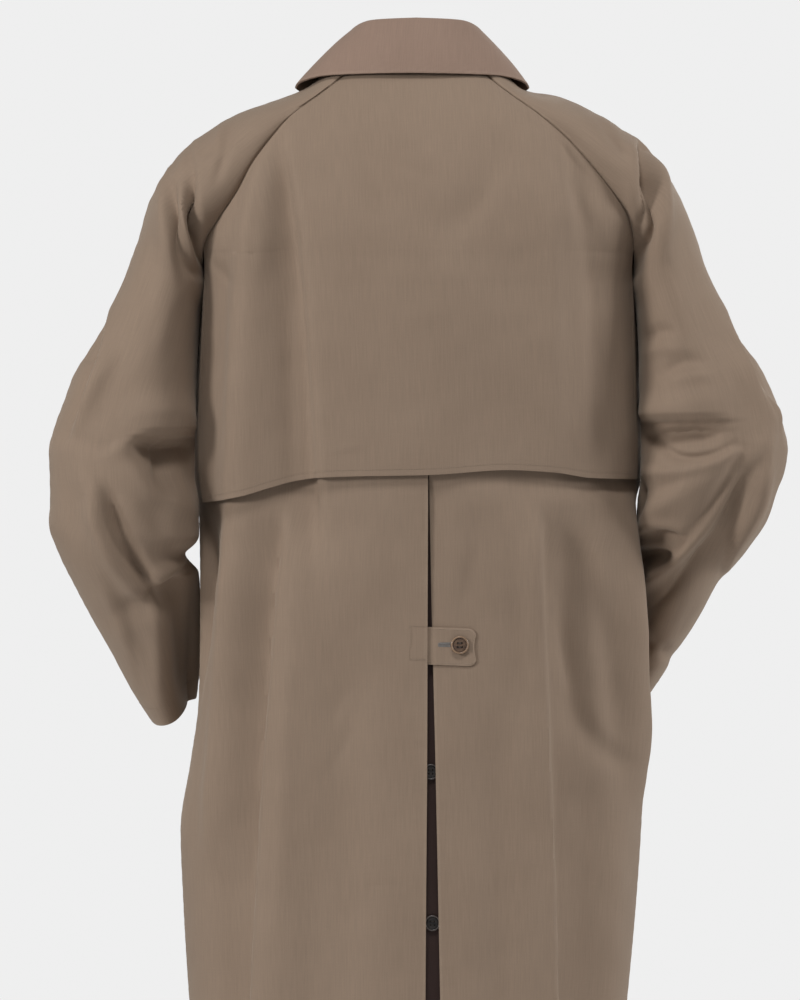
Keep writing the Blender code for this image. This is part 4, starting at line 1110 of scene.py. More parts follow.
def cape_half(side):
    """Half of the cape: on the seam above, hanging free below."""
    shares = to_seam(BACK_STEPS)
    grid = half_rows(BACK_YOKE, side, "back_y", centre_back, centre_back, shares)
    upper = grid[:SEAM_ROWS + 1]
    start = BACK_YOKE[CAPE_LEAVES_SEAM]
    step = np.linspace(0.0, 1.0, CAPE_FALL + 1)[1:, None]
    join = ease(step * 7.0)
    edge_z = CAPE_FREE_Z + (CAPE_SIDES[-1].z - start.seam_z) * MM * step
    half = np.abs(read(BODY, side + "_x", np.minimum(edge_z, BODY[0].z * MM)))
    edge_x = read(CAPE_SIDES, side + "_x", edge_z)
    hanging = np.arcsin(np.abs(edge_x) / np.maximum(half, np.abs(edge_x) / CAPE_ARC))
    full = np.radians(start.round_deg) * (1.0 - join) + hanging * join
    mid_x = centre_back(edge_z)
    angles = full * shares
    x = mid_x + (edge_x - mid_x) * np.sin(angles) / np.sin(full)
    hem = glide(x, column(CAPE_HEM, "x"), column(CAPE_HEM, "z"))
    z = CAPE_FREE_Z + (hem - CAPE_FREE_Z) * step
    back = read(BODY, "back_y", np.minimum(z, BODY[0].z * MM))
    mid_y = start.mid_y * MM * (1.0 - join) + back * join
    side_y = start.seam_y * MM * (1.0 - join) + back * np.cos(hanging) * join
    level = (np.cos(angles) - np.cos(full)) / (1.0 - np.cos(full))
    y = side_y + (mid_y - side_y) * level
    return np.concatenate([upper, np.stack([x, y, z], axis=-1)]), shares


print("half the cape before its folds:", cape_half("left")[0].shape[:2], "points")

# %% The whole cape
def make_cape():
    """Both halves in one panel, lifted off the back, with the cape's folds."""
    left, shares = cape_half("left")
    right, shares = cape_half("right")
    points = np.concatenate([left[:, ::-1], right[:, 1:]], axis=1)
    panel = Panel(points, points * TOWARDS_CORE)
    across = np.concatenate([shares[::-1], shares[1:]])[None, :]
    rows = np.arange(len(points))[:, None]
    sections = np.where(rows < SEAM_ROWS, rows / SECTION_STEP,
                        CAPE_LEAVES_SEAM + (rows - SEAM_ROWS) * CAPE_SECTIONS / CAPE_FALL)
    row_at = sections / (CAPE_LEAVES_SEAM + CAPE_SECTIONS)
    loose = ease((sections - CAPE_LEAVES_SEAM) / 1.5)
    held = ease((across - 0.75) / 0.25) * (1.0 - 0.2 * loose)
    lift = (CAPE_LIFT * ease(row_at * 1.6) + 1.0 * MM * ease(row_at * 8)) * (1.0 - held)
    quiet = 1.0 - ease((across - 0.9) / 0.1)
    panel.push((press(points, CAPE_FOLDS + CAPE_CREASES) + ripple(points)) * quiet + lift)
    return panel


cape = make_cape()
print("cape grid:", cape.points.shape[:2])

# %% [markdown]
# ## The sleeves: sections
# A two-piece raglan sleeve starts at the neck. Its overarm seam runs over the shoulder and
# down the outside of the arm, and its underarm seam comes out of the armpit. Each half is a
# run of arcs between those two lines. The arms are bent, with the hands in front, so the
# sections below the elbow lie further and further forward.

# %% Sections of the sleeves
OverarmRow = namedtuple("OverarmRow", "left_x left_z right_x right_z back_deep front_deep")
OVERARM = [
    OverarmRow(-78, 3, 74, 4, 47, 44),
    OverarmRow(-103, -17, 97, -15, 62, 62),
    OverarmRow(-131, -37, 124, -37.5, 74, 75),
    OverarmRow(-165, -49, 158, -44, 83, 86),
    OverarmRow(-205, -64, 198, -61, 92, 95),
    OverarmRow(-240, -84, 230, -80, 96, 99),
    OverarmRow(-268, -105, 256, -95, 98, 101),
    OverarmRow(-290, -131, 277, -121, 99, 101),
    OverarmRow(-304, -155, 293, -145, 99, 100),
    OverarmRow(-310.5, -169, 301, -160, 98, 99),
    OverarmRow(-316, -188, 307, -174, 97, 98),
    OverarmRow(-321, -207, 314, -192, 96, 97),
    OverarmRow(-328, -226.5, 322, -214, 95, 96),
]
print("rows of the overarm seam above the armpit:", len(OVERARM))

# %% Sections of the arms
SleeveRow = namedtuple("SleeveRow", "out_x out_z in_x in_z mid_y deep tilt")
LEFT_SLEEVE = [
    SleeveRow(-340.5, -262, -249.5, -291, -6, 94, 0),
    SleeveRow(-356.5, -300, -252.5, -325, -13, 93, 0),
    SleeveRow(-377, -335, -253.8, -358, -20, 92, 0),
    SleeveRow(-395.5, -365, -254.5, -388, -27, 92, 0),
    SleeveRow(-406, -394, -255, -415, -33, 92, 0),
    SleeveRow(-417, -424, -256, -437, -38, 92, 0),
    SleeveRow(-423.5, -452, -256, -458, -42, 91, 0),
    SleeveRow(-422.5, -480, -256, -480, -46, 90, 0),
    SleeveRow(-422, -508, -251.5, -512, -48, 88, 0),
    SleeveRow(-423.5, -535, -251, -549, -46, 86, 2),
    SleeveRow(-412, -570, -267, -570, -39, 83, 5),
    SleeveRow(-394.5, -606, -251.5, -593, -27, 79, 8),
    SleeveRow(-376, -641.5, -250, -628, -6, 76, 11),
    SleeveRow(-356.5, -675, -250, -663, 16, 73, 14),
    SleeveRow(-337, -710, -251, -697, 38, 70, 16),
    SleeveRow(-320, -739.5, -253.5, -722, 56, 68, 18),
    SleeveRow(-308.5, -758, -255.5, -737, 68, 66, 18),
]
RIGHT_SLEEVE = [
    SleeveRow(333, -250, 249.5, -291, -6, 94, 0),
    SleeveRow(347, -284, 252.5, -325, -13, 93, 0),
    SleeveRow(368, -322, 253.8, -358, -19, 92, 0),
    SleeveRow(393, -356, 254.5, -388, -25, 92, 0),
    SleeveRow(408.5, -390, 255, -415, -29, 92, 0),
    SleeveRow(418.5, -421, 255.5, -438, -32, 92, 0),
    SleeveRow(424.5, -449, 255.5, -462, -33, 91, 0),
    SleeveRow(421, -474, 255, -486, -32, 89, 0),
    SleeveRow(411.5, -500, 252, -510, -26, 87, 1),
    SleeveRow(400.5, -531, 251, -534, -14, 84, 3),
    SleeveRow(378, -558, 252.5, -560, 2, 81, 6),
    SleeveRow(355, -584, 254, -586, 20, 77, 9),
    SleeveRow(338.5, -613, 254, -612, 44, 74, 12),
    SleeveRow(322, -640, 253, -640, 76, 71, 15),
    SleeveRow(306, -668, 249, -668, 105, 68, 18),
    SleeveRow(284, -704, 233, -698, 131, 65, 20),
    SleeveRow(267.5, -729, 220, -720, 148, 63, 20),
]
ARM_TURNS = 187               # fine rows from the armpit to the cuff
ARM_AT = ARMPIT_ROW + len(LEFT_SLEEVE) * np.linspace(0.0, 1.0, ARM_TURNS + 1)[1:]
SLEEVE_STEPS = 66
SLEEVE_SHARES = to_seam(SLEEVE_STEPS, both=True)
print("rows of a sleeve:", len(YOKE_AT) + len(ARM_AT), "columns:", len(SLEEVE_SHARES))

# %% [markdown]
# ## The sleeves: folds
# Most of the coat's folds are here. Behind each shoulder a narrow hollow runs into the
# seam. At the elbow the upper sleeve hangs over the forearm in a lobe with a crisp lower
# edge, and long diagonal folds run from the elbow's point down to the cuff.

# %% Folds of the sleeves
LEFT_SLEEVE_FOLDS = [
    Fold(-262, -105, -247, -228, -4, 12, 5, -10),
    Fold(-266, -100, -257, -250, -8, 8, 10, 5),
    Fold(-283, -150, -262, -262, -4, 9, 9, -5),
    Fold(-294, -110, -290, -215, 0, 12, 9, 4),
    Fold(-352, -352, -388, -424, 0, 14, 6, 5),
    Fold(-318, -446, -262, -448, -2, 22, 6, -8),
    Fold(-330, -410, -262, -406, 4, 14, 20, 5),
    Fold(-352, -506, -304, -612, -8, 12, 9, -11),
    Fold(-372, -500, -304, -626, -18, 12, 10, 6),
    Fold(-286, -470, -292, -540, 0, 18, 18, -5),
    Fold(-345, -640, -262, -610, 0, 14, 14, -6),
]
RIGHT_SLEEVE_FOLDS = [
    Fold(258, -104, 250, -228, 12, 5, 9, -9),
    Fold(272, -108, 281, -226, 6, 10, 9, 5),
    Fold(256, -436, 346, -432, 4, 18, 6, -10),
    Fold(262, -404, 346, -392, 4, 14, 20, 4),
    Fold(378, -448, 318, -552, 4, 14, 18, -8),
    Fold(398, -430, 350, -572, 10, 6, 12, 5),
    Fold(372, -338, 408, -418, -4, 12, 6, 5),
    Fold(350, -470, 252, -540, -8, 12, 14, 5),
    Fold(262, -548, 300, -556, 4, 14, 8, -9),
    Fold(354, -560, 268, -628, -6, 16, 16, -7),
]
print("main folds of the sleeves:", len(LEFT_SLEEVE_FOLDS), "and", len(RIGHT_SLEEVE_FOLDS))

# %% Creases behind the left sleeve
LEFT_SLEEVE_CREASES = [
    Fold(-266, -140, -249, -226, -1, 8, 2.5, -9.0),
    Fold(-256, -99, -268, -150, 0, 5, 5, 2.2),
    Fold(-268, -130, -250, -246, -7, 5, 5, 4.6),
    Fold(-264, -106, -282, -144, 0, 4, 4, 2.0),
    Fold(-284, -150, -250, -256, -7, 6, 5, -6.0),
    Fold(-286, -122, -290, -190, 0, 5, 6, 2.8),
    Fold(-221, -77, -231, -100, 0, 5, 6, 2.6),
    Fold(-216, -85, -229, -137, 0, 6, 6, -3.6),
    Fold(-249, -111, -231, -109, 0, 4, 4, -1.0),
    Fold(-300, -190, -312, -290, 0, 10, 12, -2.0),
    Fold(-272, -262, -296, -330, 0, 12, 10, 1.6),
    Fold(-350, -288, -385, -420, 4, 2.8, 12, 5.5),
    Fold(-364, -318, -399, -424, 5, 9, 4, -8.0),
    Fold(-388, -350, -367, -338, 0, 1.6, 1.6, -1.6),
    Fold(-320, -437, -250, -439, 0, 14, 2.2, -8.0),
    Fold(-318, -446, -238, -448, 0, 42, 5, -8.0),
    Fold(-322, -425, -250, -425, 0, 5, 18, 4.0),
    Fold(-284, -442, -293, -484, 0, 6, 10, -4.4),
    Fold(-356, -459, -316, -434, 0, 10, 8, 3.0),
    Fold(-410, -432, -352, -452, 0, 10, 12, -2.4),
    Fold(-348, -516, -301, -612, 3, 12, 4.0, -5.5),
    Fold(-370, -488, -368, -536, 0, 7, 7, 2.6),
    Fold(-368, -536, -303, -613, -8, 7, 5, 3.0),
    Fold(-300, -606, -250, -552, -5, 3, 14, 3.6),
    Fold(-304, -616, -262, -590, -3, 10, 3, -5.0),
    Fold(-330, -470, -262, -520, -6, 16, 12, 2.6),
    Fold(-322, -500, -284, -560, 0, 9, 12, -2.2),
    Fold(-352, -586, -300, -700, -6, 12, 18, -2.6),
    Fold(-366, -596, -330, -680, 0, 8, 10, 2.2),
    Fold(-264, -600, -258, -744, 0, 22, 14, -13.0),
    Fold(-300, -640, -296, -740, 0, 10, 12, 4.0),
    Fold(-332, -650, -318, -720, 0, 7, 9, -1.6),
    Fold(-404, -470, -392, -560, 0, 9, 12, -2.0),
]
print("creases behind the left sleeve:", len(LEFT_SLEEVE_CREASES))

# %% Creases behind the right sleeve
RIGHT_SLEEVE_CREASES = [
    Fold(208, -68, 231, -84, 0, 4, 5, 1.8),
    Fold(214, -84, 240, -114, 0, 8, 5, -2.6),
    Fold(257, -102, 249, -206, 3, 2.2, 9, -8.0),
    Fold(259, -124, 250, -220, 19, 6, 4, -4.6),
    Fold(246, -108, 243, -190, 0, 8, 5, 2.0),
    Fold(271, -114, 281, -190, 2, 5, 7, 2.2),
    Fold(300, -200, 322, -300, 0, 12, 12, -1.8),
    Fold(266, -240, 270, -300, 0, 10, 12, 1.6),
    Fold(261, -323, 291, -316, 3, 6, 9, -3.0),
    Fold(262, -340, 300, -336, 3, 7, 7, 1.8),
    Fold(283, -363, 324, -350, 5, 5, 10, -3.6),
    Fold(290, -375, 332, -366, 3, 8, 4, 2.2),
    Fold(337, -256, 397, -414, -3, 14, 2.8, 5.4),
    Fold(366, -312, 404, -400, -2, 3, 9, -5.0),
    Fold(389, -356, 414, -438, 0, 4, 4, 2.6),
    Fold(252, -420, 348, -419, 0, 22, 2.2, -9.0),
    Fold(252, -411, 340, -409, 0, 2.5, 15, 4.2),
    Fold(256, -434, 360, -446, -21, 5, 6, -5.5),
    Fold(254, -476, 372, -448, -9, 9, 8, 4.0),
    Fold(254, -484, 252, -530, 4, 8, 3, -4.0),
    Fold(262, -500, 340, -470, -4, 12, 8, -2.4),
    Fold(252, -570, 290, -577, 2, 14, 6, -12.0),
    Fold(254, -546, 298, -546, 5, 3, 10, 4.6),
    Fold(260, -606, 370, -470, -12, 8, 7, 7.0),
    Fold(268, -634, 376, -484, -13, 10, 6, -5.5),
    Fold(394, -464, 352, -590, -3, 3, 20, 7.5),
    Fold(402, -400, 382, -520, -6, 12, 14, 6.0),
    Fold(262, -672, 294, -690, 0, 8, 10, -4.0),
    Fold(256, -640, 318, -596, -4, 8, 8, 2.4),
    Fold(250, -700, 282, -672, 0, 8, 8, 2.0),
    Fold(330, -620, 306, -664, 0, 6, 8, 2.0),
]
print("creases behind the right sleeve:", len(RIGHT_SLEEVE_CREASES))

# %% Creases before the sleeves
LEFT_FRONT_CREASES = [
    Fold(-240, -110, -250, -220, 3, 6, 9, -4.5),
    Fold(-272, -120, -270, -230, 0, 9, 6, 3.4),
    Fold(-300, -396, -258, -384, 3, 6, 10, -5.0),
    Fold(-344, -420, -258, -410, 4, 10, 4, 4.0),
    Fold(-352, -440, -258, -436, -3, 4, 12, -7.0),
    Fold(-338, -466, -262, -476, -4, 8, 8, 3.6),
    Fold(-352, -510, -272, -580, -8, 10, 5, -6.0),
    Fold(-366, -520, -300, -614, -8, 9, 9, 3.4),
    Fold(-330, -600, -276, -660, -4, 10, 8, -3.6),
    Fold(-340, -640, -300, -720, 0, 9, 12, 2.6),
    Fold(-280, -280, -306, -350, 0, 12, 12, -2.4),
    Fold(-350, -320, -386, -410, 4, 8, 12, 3.0),
]
RIGHT_FRONT_CREASES = [
    Fold(242, -110, 250, -220, -3, 9, 6, -4.5),
    Fold(274, -120, 272, -230, 0, 6, 9, 3.4),
    Fold(262, -384, 306, -392, 3, 6, 10, -5.0),
    Fold(260, -408, 348, -414, 4, 10, 4, 4.0),
    Fold(260, -432, 352, -430, -3, 4, 12, -7.0),
    Fold(262, -470, 344, -456, -4, 8, 8, 3.6),
    Fold(268, -566, 352, -490, -8, 10, 5, -6.0),
    Fold(272, -600, 372, -500, -8, 9, 9, 3.4),
    Fold(256, -640, 320, -590, -4, 10, 8, -3.6),
    Fold(300, -650, 262, -690, 0, 9, 12, 2.6),
    Fold(290, -280, 316, -350, 0, 12, 12, -2.4),
    Fold(348, -310, 392, -404, -4, 12, 8, 3.0),
]
SLEEVE_CREASES = {
    ("left", "back"): LEFT_SLEEVE_CREASES, ("right", "back"): RIGHT_SLEEVE_CREASES,
    ("left", "front"): LEFT_FRONT_CREASES, ("right", "front"): RIGHT_FRONT_CREASES,
}
print("creases of the sleeves:", sum(len(folds) for folds in SLEEVE_CREASES.values()))

# %% [markdown]
# ## The sleeves: their halves
# All measures run along the sleeve in one smooth curve, those above the armpit joined to
# those below it. A half goes from the overarm seam, its first column, round to the raglan
# seam and then the underarm seam, its last one.

# %% Sleeve halves
ARMPIT_CLEAR = 1.2 * MM       # the underarm stands this far off the body's side
CLEAR_FROM = 8.0              # yoke row where the sleeve starts to stand off
CORE_STEP = 10.0 * MM
FRONT_STRENGTH = 0.6          # the main folds are weaker at the arm's front
FOLD_ENDS = 0.2               # shares of the half over which folds fade at its seams
CREASE_ENDS = 0.09
WAVE_ENDS = 0.06


def sleeve_half(side, face):
    """Half a sleeve, from the overarm seam to the raglan seam and the underarm seam."""
    yoke = BACK_YOKE if face == "back" else FRONT_YOKE
    arm = LEFT_SLEEVE if side == "left" else RIGHT_SLEEVE
    way = -1.0 if face == "back" else 1.0
    outward = -1.0 if side == "left" else 1.0
    at = np.concatenate([YOKE_AT, ARM_AT])

    def along(upper, lower):
        """A measure above the armpit joined to one below it, at every row."""
        return glide(at, np.arange(len(upper) + len(lower)), np.concatenate([upper, lower]))[:, None]

    level = 0.0 * column(yoke, "seam_y")
    top_x = along(column(OVERARM, side + "_x"), column(arm, "out_x"))
    top_z = along(column(OVERARM, side + "_z"), column(arm, "out_z"))
    end_x = along(column(yoke, side + "_x"), column(arm, "in_x"))
    end_z = along(column(yoke, "seam_z"), column(arm, "in_z"))
    seam_y = along(np.abs(column(yoke, "seam_y")), 0.0 * column(arm, "deep"))
    mid_y = along(level, column(arm, "mid_y"))
    deep = along(column(OVERARM, face + "_deep"), column(arm, "deep"))
    tilt = along(level, column(arm, "tilt"))
    growing = ease((at - CLEAR_FROM) / (ARMPIT_ROW - CLEAR_FROM))
    clear = outward * ARMPIT_CLEAR * growing * ease(ARMPIT_ROW + 1.0 - at)
    full = np.pi - np.arcsin(np.minimum(1.0, seam_y / deep))
    angles = full * SLEEVE_SHARES
    share = (1.0 - np.cos(angles)) / (1.0 - np.cos(full))
    x = top_x + (end_x + clear[:, None] - top_x) * share
    y = mid_y + way * deep * np.sin(angles)
    z = top_z + (end_z - top_z) * share + way * tilt * np.sin(angles)
    points = np.stack([x, y, z], axis=-1)
    core = (points[:, :1] + points[:, -1:]) / 2 - np.array([0.0, way, 0.0]) * CORE_STEP
    panel = Panel(points, core)
    ends = np.minimum(SLEEVE_SHARES, 1.0 - SLEEVE_SHARES)[None, :]
    folds = LEFT_SLEEVE_FOLDS if side == "left" else RIGHT_SLEEVE_FOLDS
    strength = 1.0 if face == "back" else FRONT_STRENGTH
    push = press(points, folds) * ease(ends / FOLD_ENDS) * strength
    push += press(points, SLEEVE_CREASES[side, face]) * ease(ends / CREASE_ENDS)
    push += ripple(points) * ease(ends / WAVE_ENDS)
    panel.push(push)
    return panel


sleeves = {(side, face): sleeve_half(side, face)
           for side in ("left", "right") for face in ("back", "front")}
print("sleeve grid:", sleeves["left", "back"].points.shape[:2])

# %% [markdown]
# ## Sewing it together
# The seams of the real coat join these pieces: overarm, underarm, side and raglan seams.
# Edges that are sewn get the same points. Then each panel sinks a little along its seams,
# as pressed seams do, and is drawn back by half the seam's gap.

# %% Seams
HEM_DIP = 0.35 * MM           # a folded edge is rounded off by this much
PRESSED_DIP = 0.5 * MM        # an overarm seam or the collar's edge, pressed flat


def sew_all():
    """Bring the edges of every seam together, the cape's with the sleeves' too."""
    for side in ("left", "right"):
        back, front = backs[side], fronts[side]
        behind, before = sleeves[side, "back"], sleeves[side, "front"]
        sew(behind, edge_of("left"), before, edge_of("left"))
        sew(behind, edge_of("right", ARMPIT), before, edge_of("right", ARMPIT))
        sew(front, edge_of("right", ARMPIT), back, edge_of("right", ARMPIT))
        sew(front, edge_of("right", 0, SEAM_ROWS), before, edge_of("right", 0, SEAM_ROWS))
        sew(cape, edge_of(side, 0, SEAM_ROWS), behind, edge_of("right", 0, SEAM_ROWS))


sew_all()
for panel in backs.values():
    groove(panel, ("right",), flat_from=ARMPIT)
    groove(panel, ("left", "bottom"), HEM_DIP)
for panel in fronts.values():
    groove(panel, ("right",), flat_from=ARMPIT)
    groove(panel, ("left", "bottom"), HEM_DIP)
for panel in sleeves.values():
    groove(panel, ("right",), flat_from=ARMPIT)
    groove(panel, ("left",), PRESSED_DIP)
    groove(panel, ("bottom",), HEM_DIP)
groove(cape, ("left", "right"), flat_from=SEAM_ROWS)
groove(cape, ("bottom",), HEM_DIP)
sew_all()
print("seams sewn on", len(backs) + len(fronts) + len(sleeves) + 1, "panels")

# %% [markdown]
# ## The collar
# The collar has two pieces: a stand that rises from the neck seam, and a fall that turns
# over the roll line and lies on the shoulders. The stand takes its lower edge from the
# panels round the neck.

# %% Sections of the collar
RingSpec = namedtuple("RingSpec", "mid_x half_x mid_y back_y front_y end_deg")
ROLL_LINE = RingSpec(-2, 70, 5, -62, 70, 176)
FALL_EDGE = RingSpec(-6.5, 135, 7, -93, 131, 162)
CollarRow = namedtuple("CollarRow", "turn_deg roll_z edge_z")
COLLAR = [
    CollarRow(0, 42, -19),
    CollarRow(45, 40, -21),
    CollarRow(75, 33, -28),
    CollarRow(90, 28, -33.5),
    CollarRow(100, 24, -35.5),
    CollarRow(110, 19, -37.5),
    CollarRow(120, 13, -45.5),
    CollarRow(135, 3, -71),
    CollarRow(150, -8, -99),
    CollarRow(180, -24, -129),
]


def ring(spec, height, turn):
    """Point of a collar ring; turn is 0 at the centre back, height a COLLAR column."""
    x = spec.mid_x + spec.half_x * np.sin(turn)
    back = spec.mid_y - (spec.mid_y - spec.back_y) * np.cos(turn)
    front = spec.mid_y - (spec.front_y - spec.mid_y) * np.cos(turn)
    y = np.where(np.cos(turn) > 0.0, back, front)
    z = glide(np.degrees(np.abs(turn)), column(COLLAR, "turn_deg") / MM, column(COLLAR, height) / MM)
    return np.stack([x, y, z], axis=-1) * MM


print("roll line at the back:", [round(float(v), 3) for v in ring(ROLL_LINE, "roll_z", np.array(0.0))])

# %% Collar stand
STAND_END = 0.03              # radians the stand's ends stay off the centre front
STAND_OPEN = 1.0 * MM
STAND_IN = 0.8 * MM           # the stand's foot lies inside the neck seam
STAND_UP = 0.6 * MM
STAND_BOW = 0.8 * MM
STAND_STEPS = 12


def neck_line():
    """Points of the neck seam, from the centre front round the back to it again."""
    free = {side: half_rows(FRONT_YOKE, side, "front_y", centre_front, centre_front, FRONT_SHARES)[0]
            for side in ("left", "right")}
    runs = [
        free["left"][:-1], sleeves["left", "front"].points[0, :0:-1],
        sleeves["left", "back"].points[0, :-1], backs["left"].points[0, :0:-1],
        backs["right"].points[0, :-1], sleeves["right", "back"].points[0, :0:-1],
        sleeves["right", "front"].points[0, :-1], free["right"][::-1],
    ]
    return np.concatenate(runs)


def make_stand():
    """The stand: up from the neck seam to the roll line."""
    base = neck_line()
    middle = np.array([ROLL_LINE.mid_x, ROLL_LINE.mid_y, 0.0]) * MM
    turn = np.arctan2(base[:, 0] - middle[0], -(base[:, 1] - middle[1]))
    turn[0] = STAND_END - np.pi
    turn[-1] = np.pi - STAND_END
    base[[0, -1], 0] = [-STAND_OPEN, STAND_OPEN]
    top = ring(ROLL_LINE, "roll_z", turn)
    inward = unit((middle - base) * [1.0, 1.0, 0.0])
    base = base + inward * STAND_IN + np.array([0.0, 0.0, STAND_UP])
    down = np.linspace(0.0, 1.0, STAND_STEPS + 1)[:, None, None]
    points = top + (base - top) * down + inward * STAND_BOW * np.sin(np.pi * down)
    return Panel(points, points * [0.0, 0.0, 1.0] + middle)


stand = make_stand()
print("stand grid:", stand.points.shape[:2])

# %% [markdown]
# ## The collar's fall
# The fall is a ring of cloth with a round turn at the roll line. Its free edge lies on the
# shoulders, a little lower at the sides than at the back. The turn is a short curve through
# three points, and below it the cloth bows slightly outwards.

# %% Collar fall
FALL_ROUND = 5.0 * MM         # how far the turn reaches out from the roll line
FALL_BOW = 3.0 * MM
FALL_OVER = CLOTH + 0.7 * MM  # the fall's turn stands this high over the stand
FALL_STEPS = 256
ROUND_ROWS = 11
ROUND_SHARE = 0.05            # share of the fall's height that the turn takes
FALL_CREASES = [
    Fold(-84, 28, -112, -12, 0, 9, 12, 0.9),
    Fold(-50, 34, -62, -14, 0, 12, 9, -0.7),
    Fold(20, 38, 26, -16, 0, 14, 14, 0.5),
    Fold(70, 30, 96, -12, 0, 12, 9, 0.9),
    Fold(52, 34, 64, -14, 0, 9, 10, -0.7),
]


def make_fall():
    """The fall: over the roll line and down to its free edge on the shoulders."""
    across = np.linspace(-1.0, 1.0, FALL_STEPS + 1)
    roll_turn = across * np.radians(ROLL_LINE.end_deg)
    edge_turn = across * np.radians(FALL_EDGE.end_deg)
    roll = ring(ROLL_LINE, "roll_z", roll_turn) + [0.0, 0.0, FALL_OVER]
    edge = ring(FALL_EDGE, "edge_z", edge_turn)
    outward = unit((edge - roll) * [1.0, 1.0, 0.0])
    shoulder = roll + outward * FALL_ROUND + [0.0, 0.0, -0.35 * FALL_ROUND]
    turned = roll + outward * 0.75 * FALL_ROUND + [0.0, 0.0, 0.05 * FALL_ROUND]
    start = shoulder + (edge - shoulder) * ROUND_SHARE
    rows = []
    for t in np.linspace(0.0, 1.0, ROUND_ROWS + 1)[:-1]:
        rows.append(roll * (1 - t) ** 2 + turned * 2 * t * (1 - t) + start * t * t)
    for share in ROUND_SHARE + (1.0 - ROUND_SHARE) * to_seam(38):
        bow = outward * FALL_BOW * (np.sin(np.pi * share) - np.sin(np.pi * ROUND_SHARE) * (1 - share))
        rows.append(shoulder + (edge - shoulder) * share + bow)
    panel = Panel(np.array(rows), np.array(rows) - [0.0, 0.0, 1.0])
    quiet = ease(np.linspace(0.0, 1.0, len(rows)) / 0.3)[:, None]
    back = ease(-panel.points[..., 1] / 0.03)
    panel.push((press(panel.points, FALL_CREASES) * back + 0.5 * ripple(panel.points)) * quiet)
    panel.normals[0] = unit(panel.normals[0] * 0.2 + [0.0, 0.0, 1.0])
    return panel


fall = make_fall()
roll_normals = fall.normals[0].copy()
groove(fall, ("bottom", "left", "right"), PRESSED_DIP)
fall.normals[0] = roll_normals
print("fall grid:", fall.points.shape[:2])

# %% [markdown]
# ## Behind the vent
# The vent is closed inside by a pleat of facing cloth whose very dark colour is partly painted shadow of
# the deep slit. It is sewn to both back panels and lies more than a centimetre deep in the middle. Two dark
# buttons for the vent's own closing sit on it.

# %% Vent underlay
UNDERLAY_DEPTH = 11.2 * MM
UNDERLAY_SEWN = CLOTH + 0.7 * MM  # its depth at the sides, where it is sewn to the backs
UNDERLAY_LEFT = -32.0 * MM
UNDERLAY_RIGHT = 78.0 * MM
UNDERLAY_TOP = -0.452


def centre_surface(x, z):
    """Face of the back near the centre back, folds included, and its outward way."""
    wide = read(BODY, "right_x", z) - centre_back(z)
    lean = (x - centre_back(z)) / wide
    side_y = read(BODY, "right_y", z)
    y = side_y + (read(BODY, "back_y", z) - side_y) * np.sqrt(1.0 - lean ** 2)
    points = np.stack([x, y, z], axis=-1)
    normals = Panel.face_normals(points, points * [1.0, 0.0, 1.0])
    return points + normals * back_folds(points)[..., None], normals


def make_underlay():
    """The pleat: just behind the backs at its sides, deep in the middle."""
    across = np.linspace(UNDERLAY_LEFT, UNDERLAY_RIGHT, 45)
    down = np.linspace(UNDERLAY_TOP, HEM_Z + 4 * MM, 151)
    x, z = np.meshgrid(across, down)
    points, normals = centre_surface(x, z)
    sides = ease((x - UNDERLAY_LEFT) / 0.024) * ease((UNDERLAY_RIGHT - x) / 0.032)
    depth = UNDERLAY_SEWN + (UNDERLAY_DEPTH - UNDERLAY_SEWN) * sides
    return Panel(points - normals * depth[..., None], points + [0.0, 1.0, 0.0])


underlay = make_underlay()
print("underlay grid:", underlay.points.shape[:2])

# %% [markdown]
# ## The tab
# The tab comes out from under the left panel's edge, crosses the vent and is buttoned onto the right panel.
# It is two layers turned out and pressed, so its rim is round and has a pale line, painted edge highlight
# with rubbed wear, and its end has rounded corners and a slightly hollow side.

# %% Tab
TAB_TOP = -0.652
TAB_DEPTH = 43.0 * MM
TAB_ROOT = -9.0 * MM
TAB_TIP = 66.0 * MM
TAB_CORNER = 9.0 * MM
TAB_SEAT = CLOTH + 0.45 * MM  # how far the tab's face stands over the right panel's
TAB_UNDER = CLOTH + 0.9 * MM  # how deep its sewn end lies under the left one
TAB_DROP = 3.0 * MM           # the tab's tip hangs this much lower
TAB_HOLLOW = 2.0 * MM
TAB_RISE = 4.0 * MM           # the tab comes up out of the vent over this width
TIP_SHARE = 0.16              # share of the length that the finer columns of the tip take
TAB_DIP = 0.3 * MM


def make_tab():
    """The tab: a strip over the vent whose root dives under the left panel's edge."""
    tip = 1.0 - TIP_SHARE * (1.0 - np.sin(np.linspace(0.0, np.pi / 2, 25)))
    across = np.concatenate([np.linspace(0.0, 1.0 - TIP_SHARE, 58)[:-1], tip])
    x_row = TAB_ROOT + (TAB_TIP - TAB_ROOT) * across
    rounding = np.maximum(x_row - (TAB_TIP - TAB_CORNER), 0.0)
    pull = TAB_CORNER - np.sqrt(np.maximum(TAB_CORNER ** 2 - rounding ** 2, (1.5 * MM) ** 2))
    slope = TAB_DROP * across
    down = to_seam(46, both=True)[:, None]
    top = TAB_TOP - pull - slope
    bottom = TAB_TOP - TAB_DEPTH + pull - slope
    z = top + (bottom - top) * down
    x = x_row - TAB_HOLLOW * np.sin(np.pi * down) * across ** 6
    points, normals = centre_surface(x, z)
    over = vent_step(points) + TAB_SEAT
    share = ease((points[..., 0] - vent_edge(points[..., 2])) / TAB_RISE)
    level = (np.maximum(over, -TAB_UNDER) + TAB_UNDER) * share - TAB_UNDER
    points = points + normals * level[..., None]
    return Panel(points, points + [0.0, 1.0, 0.0])


tab = make_tab()
groove(tab, ("top", "bottom", "right"), TAB_DIP)
print("tab grid:", tab.points.shape[:2])

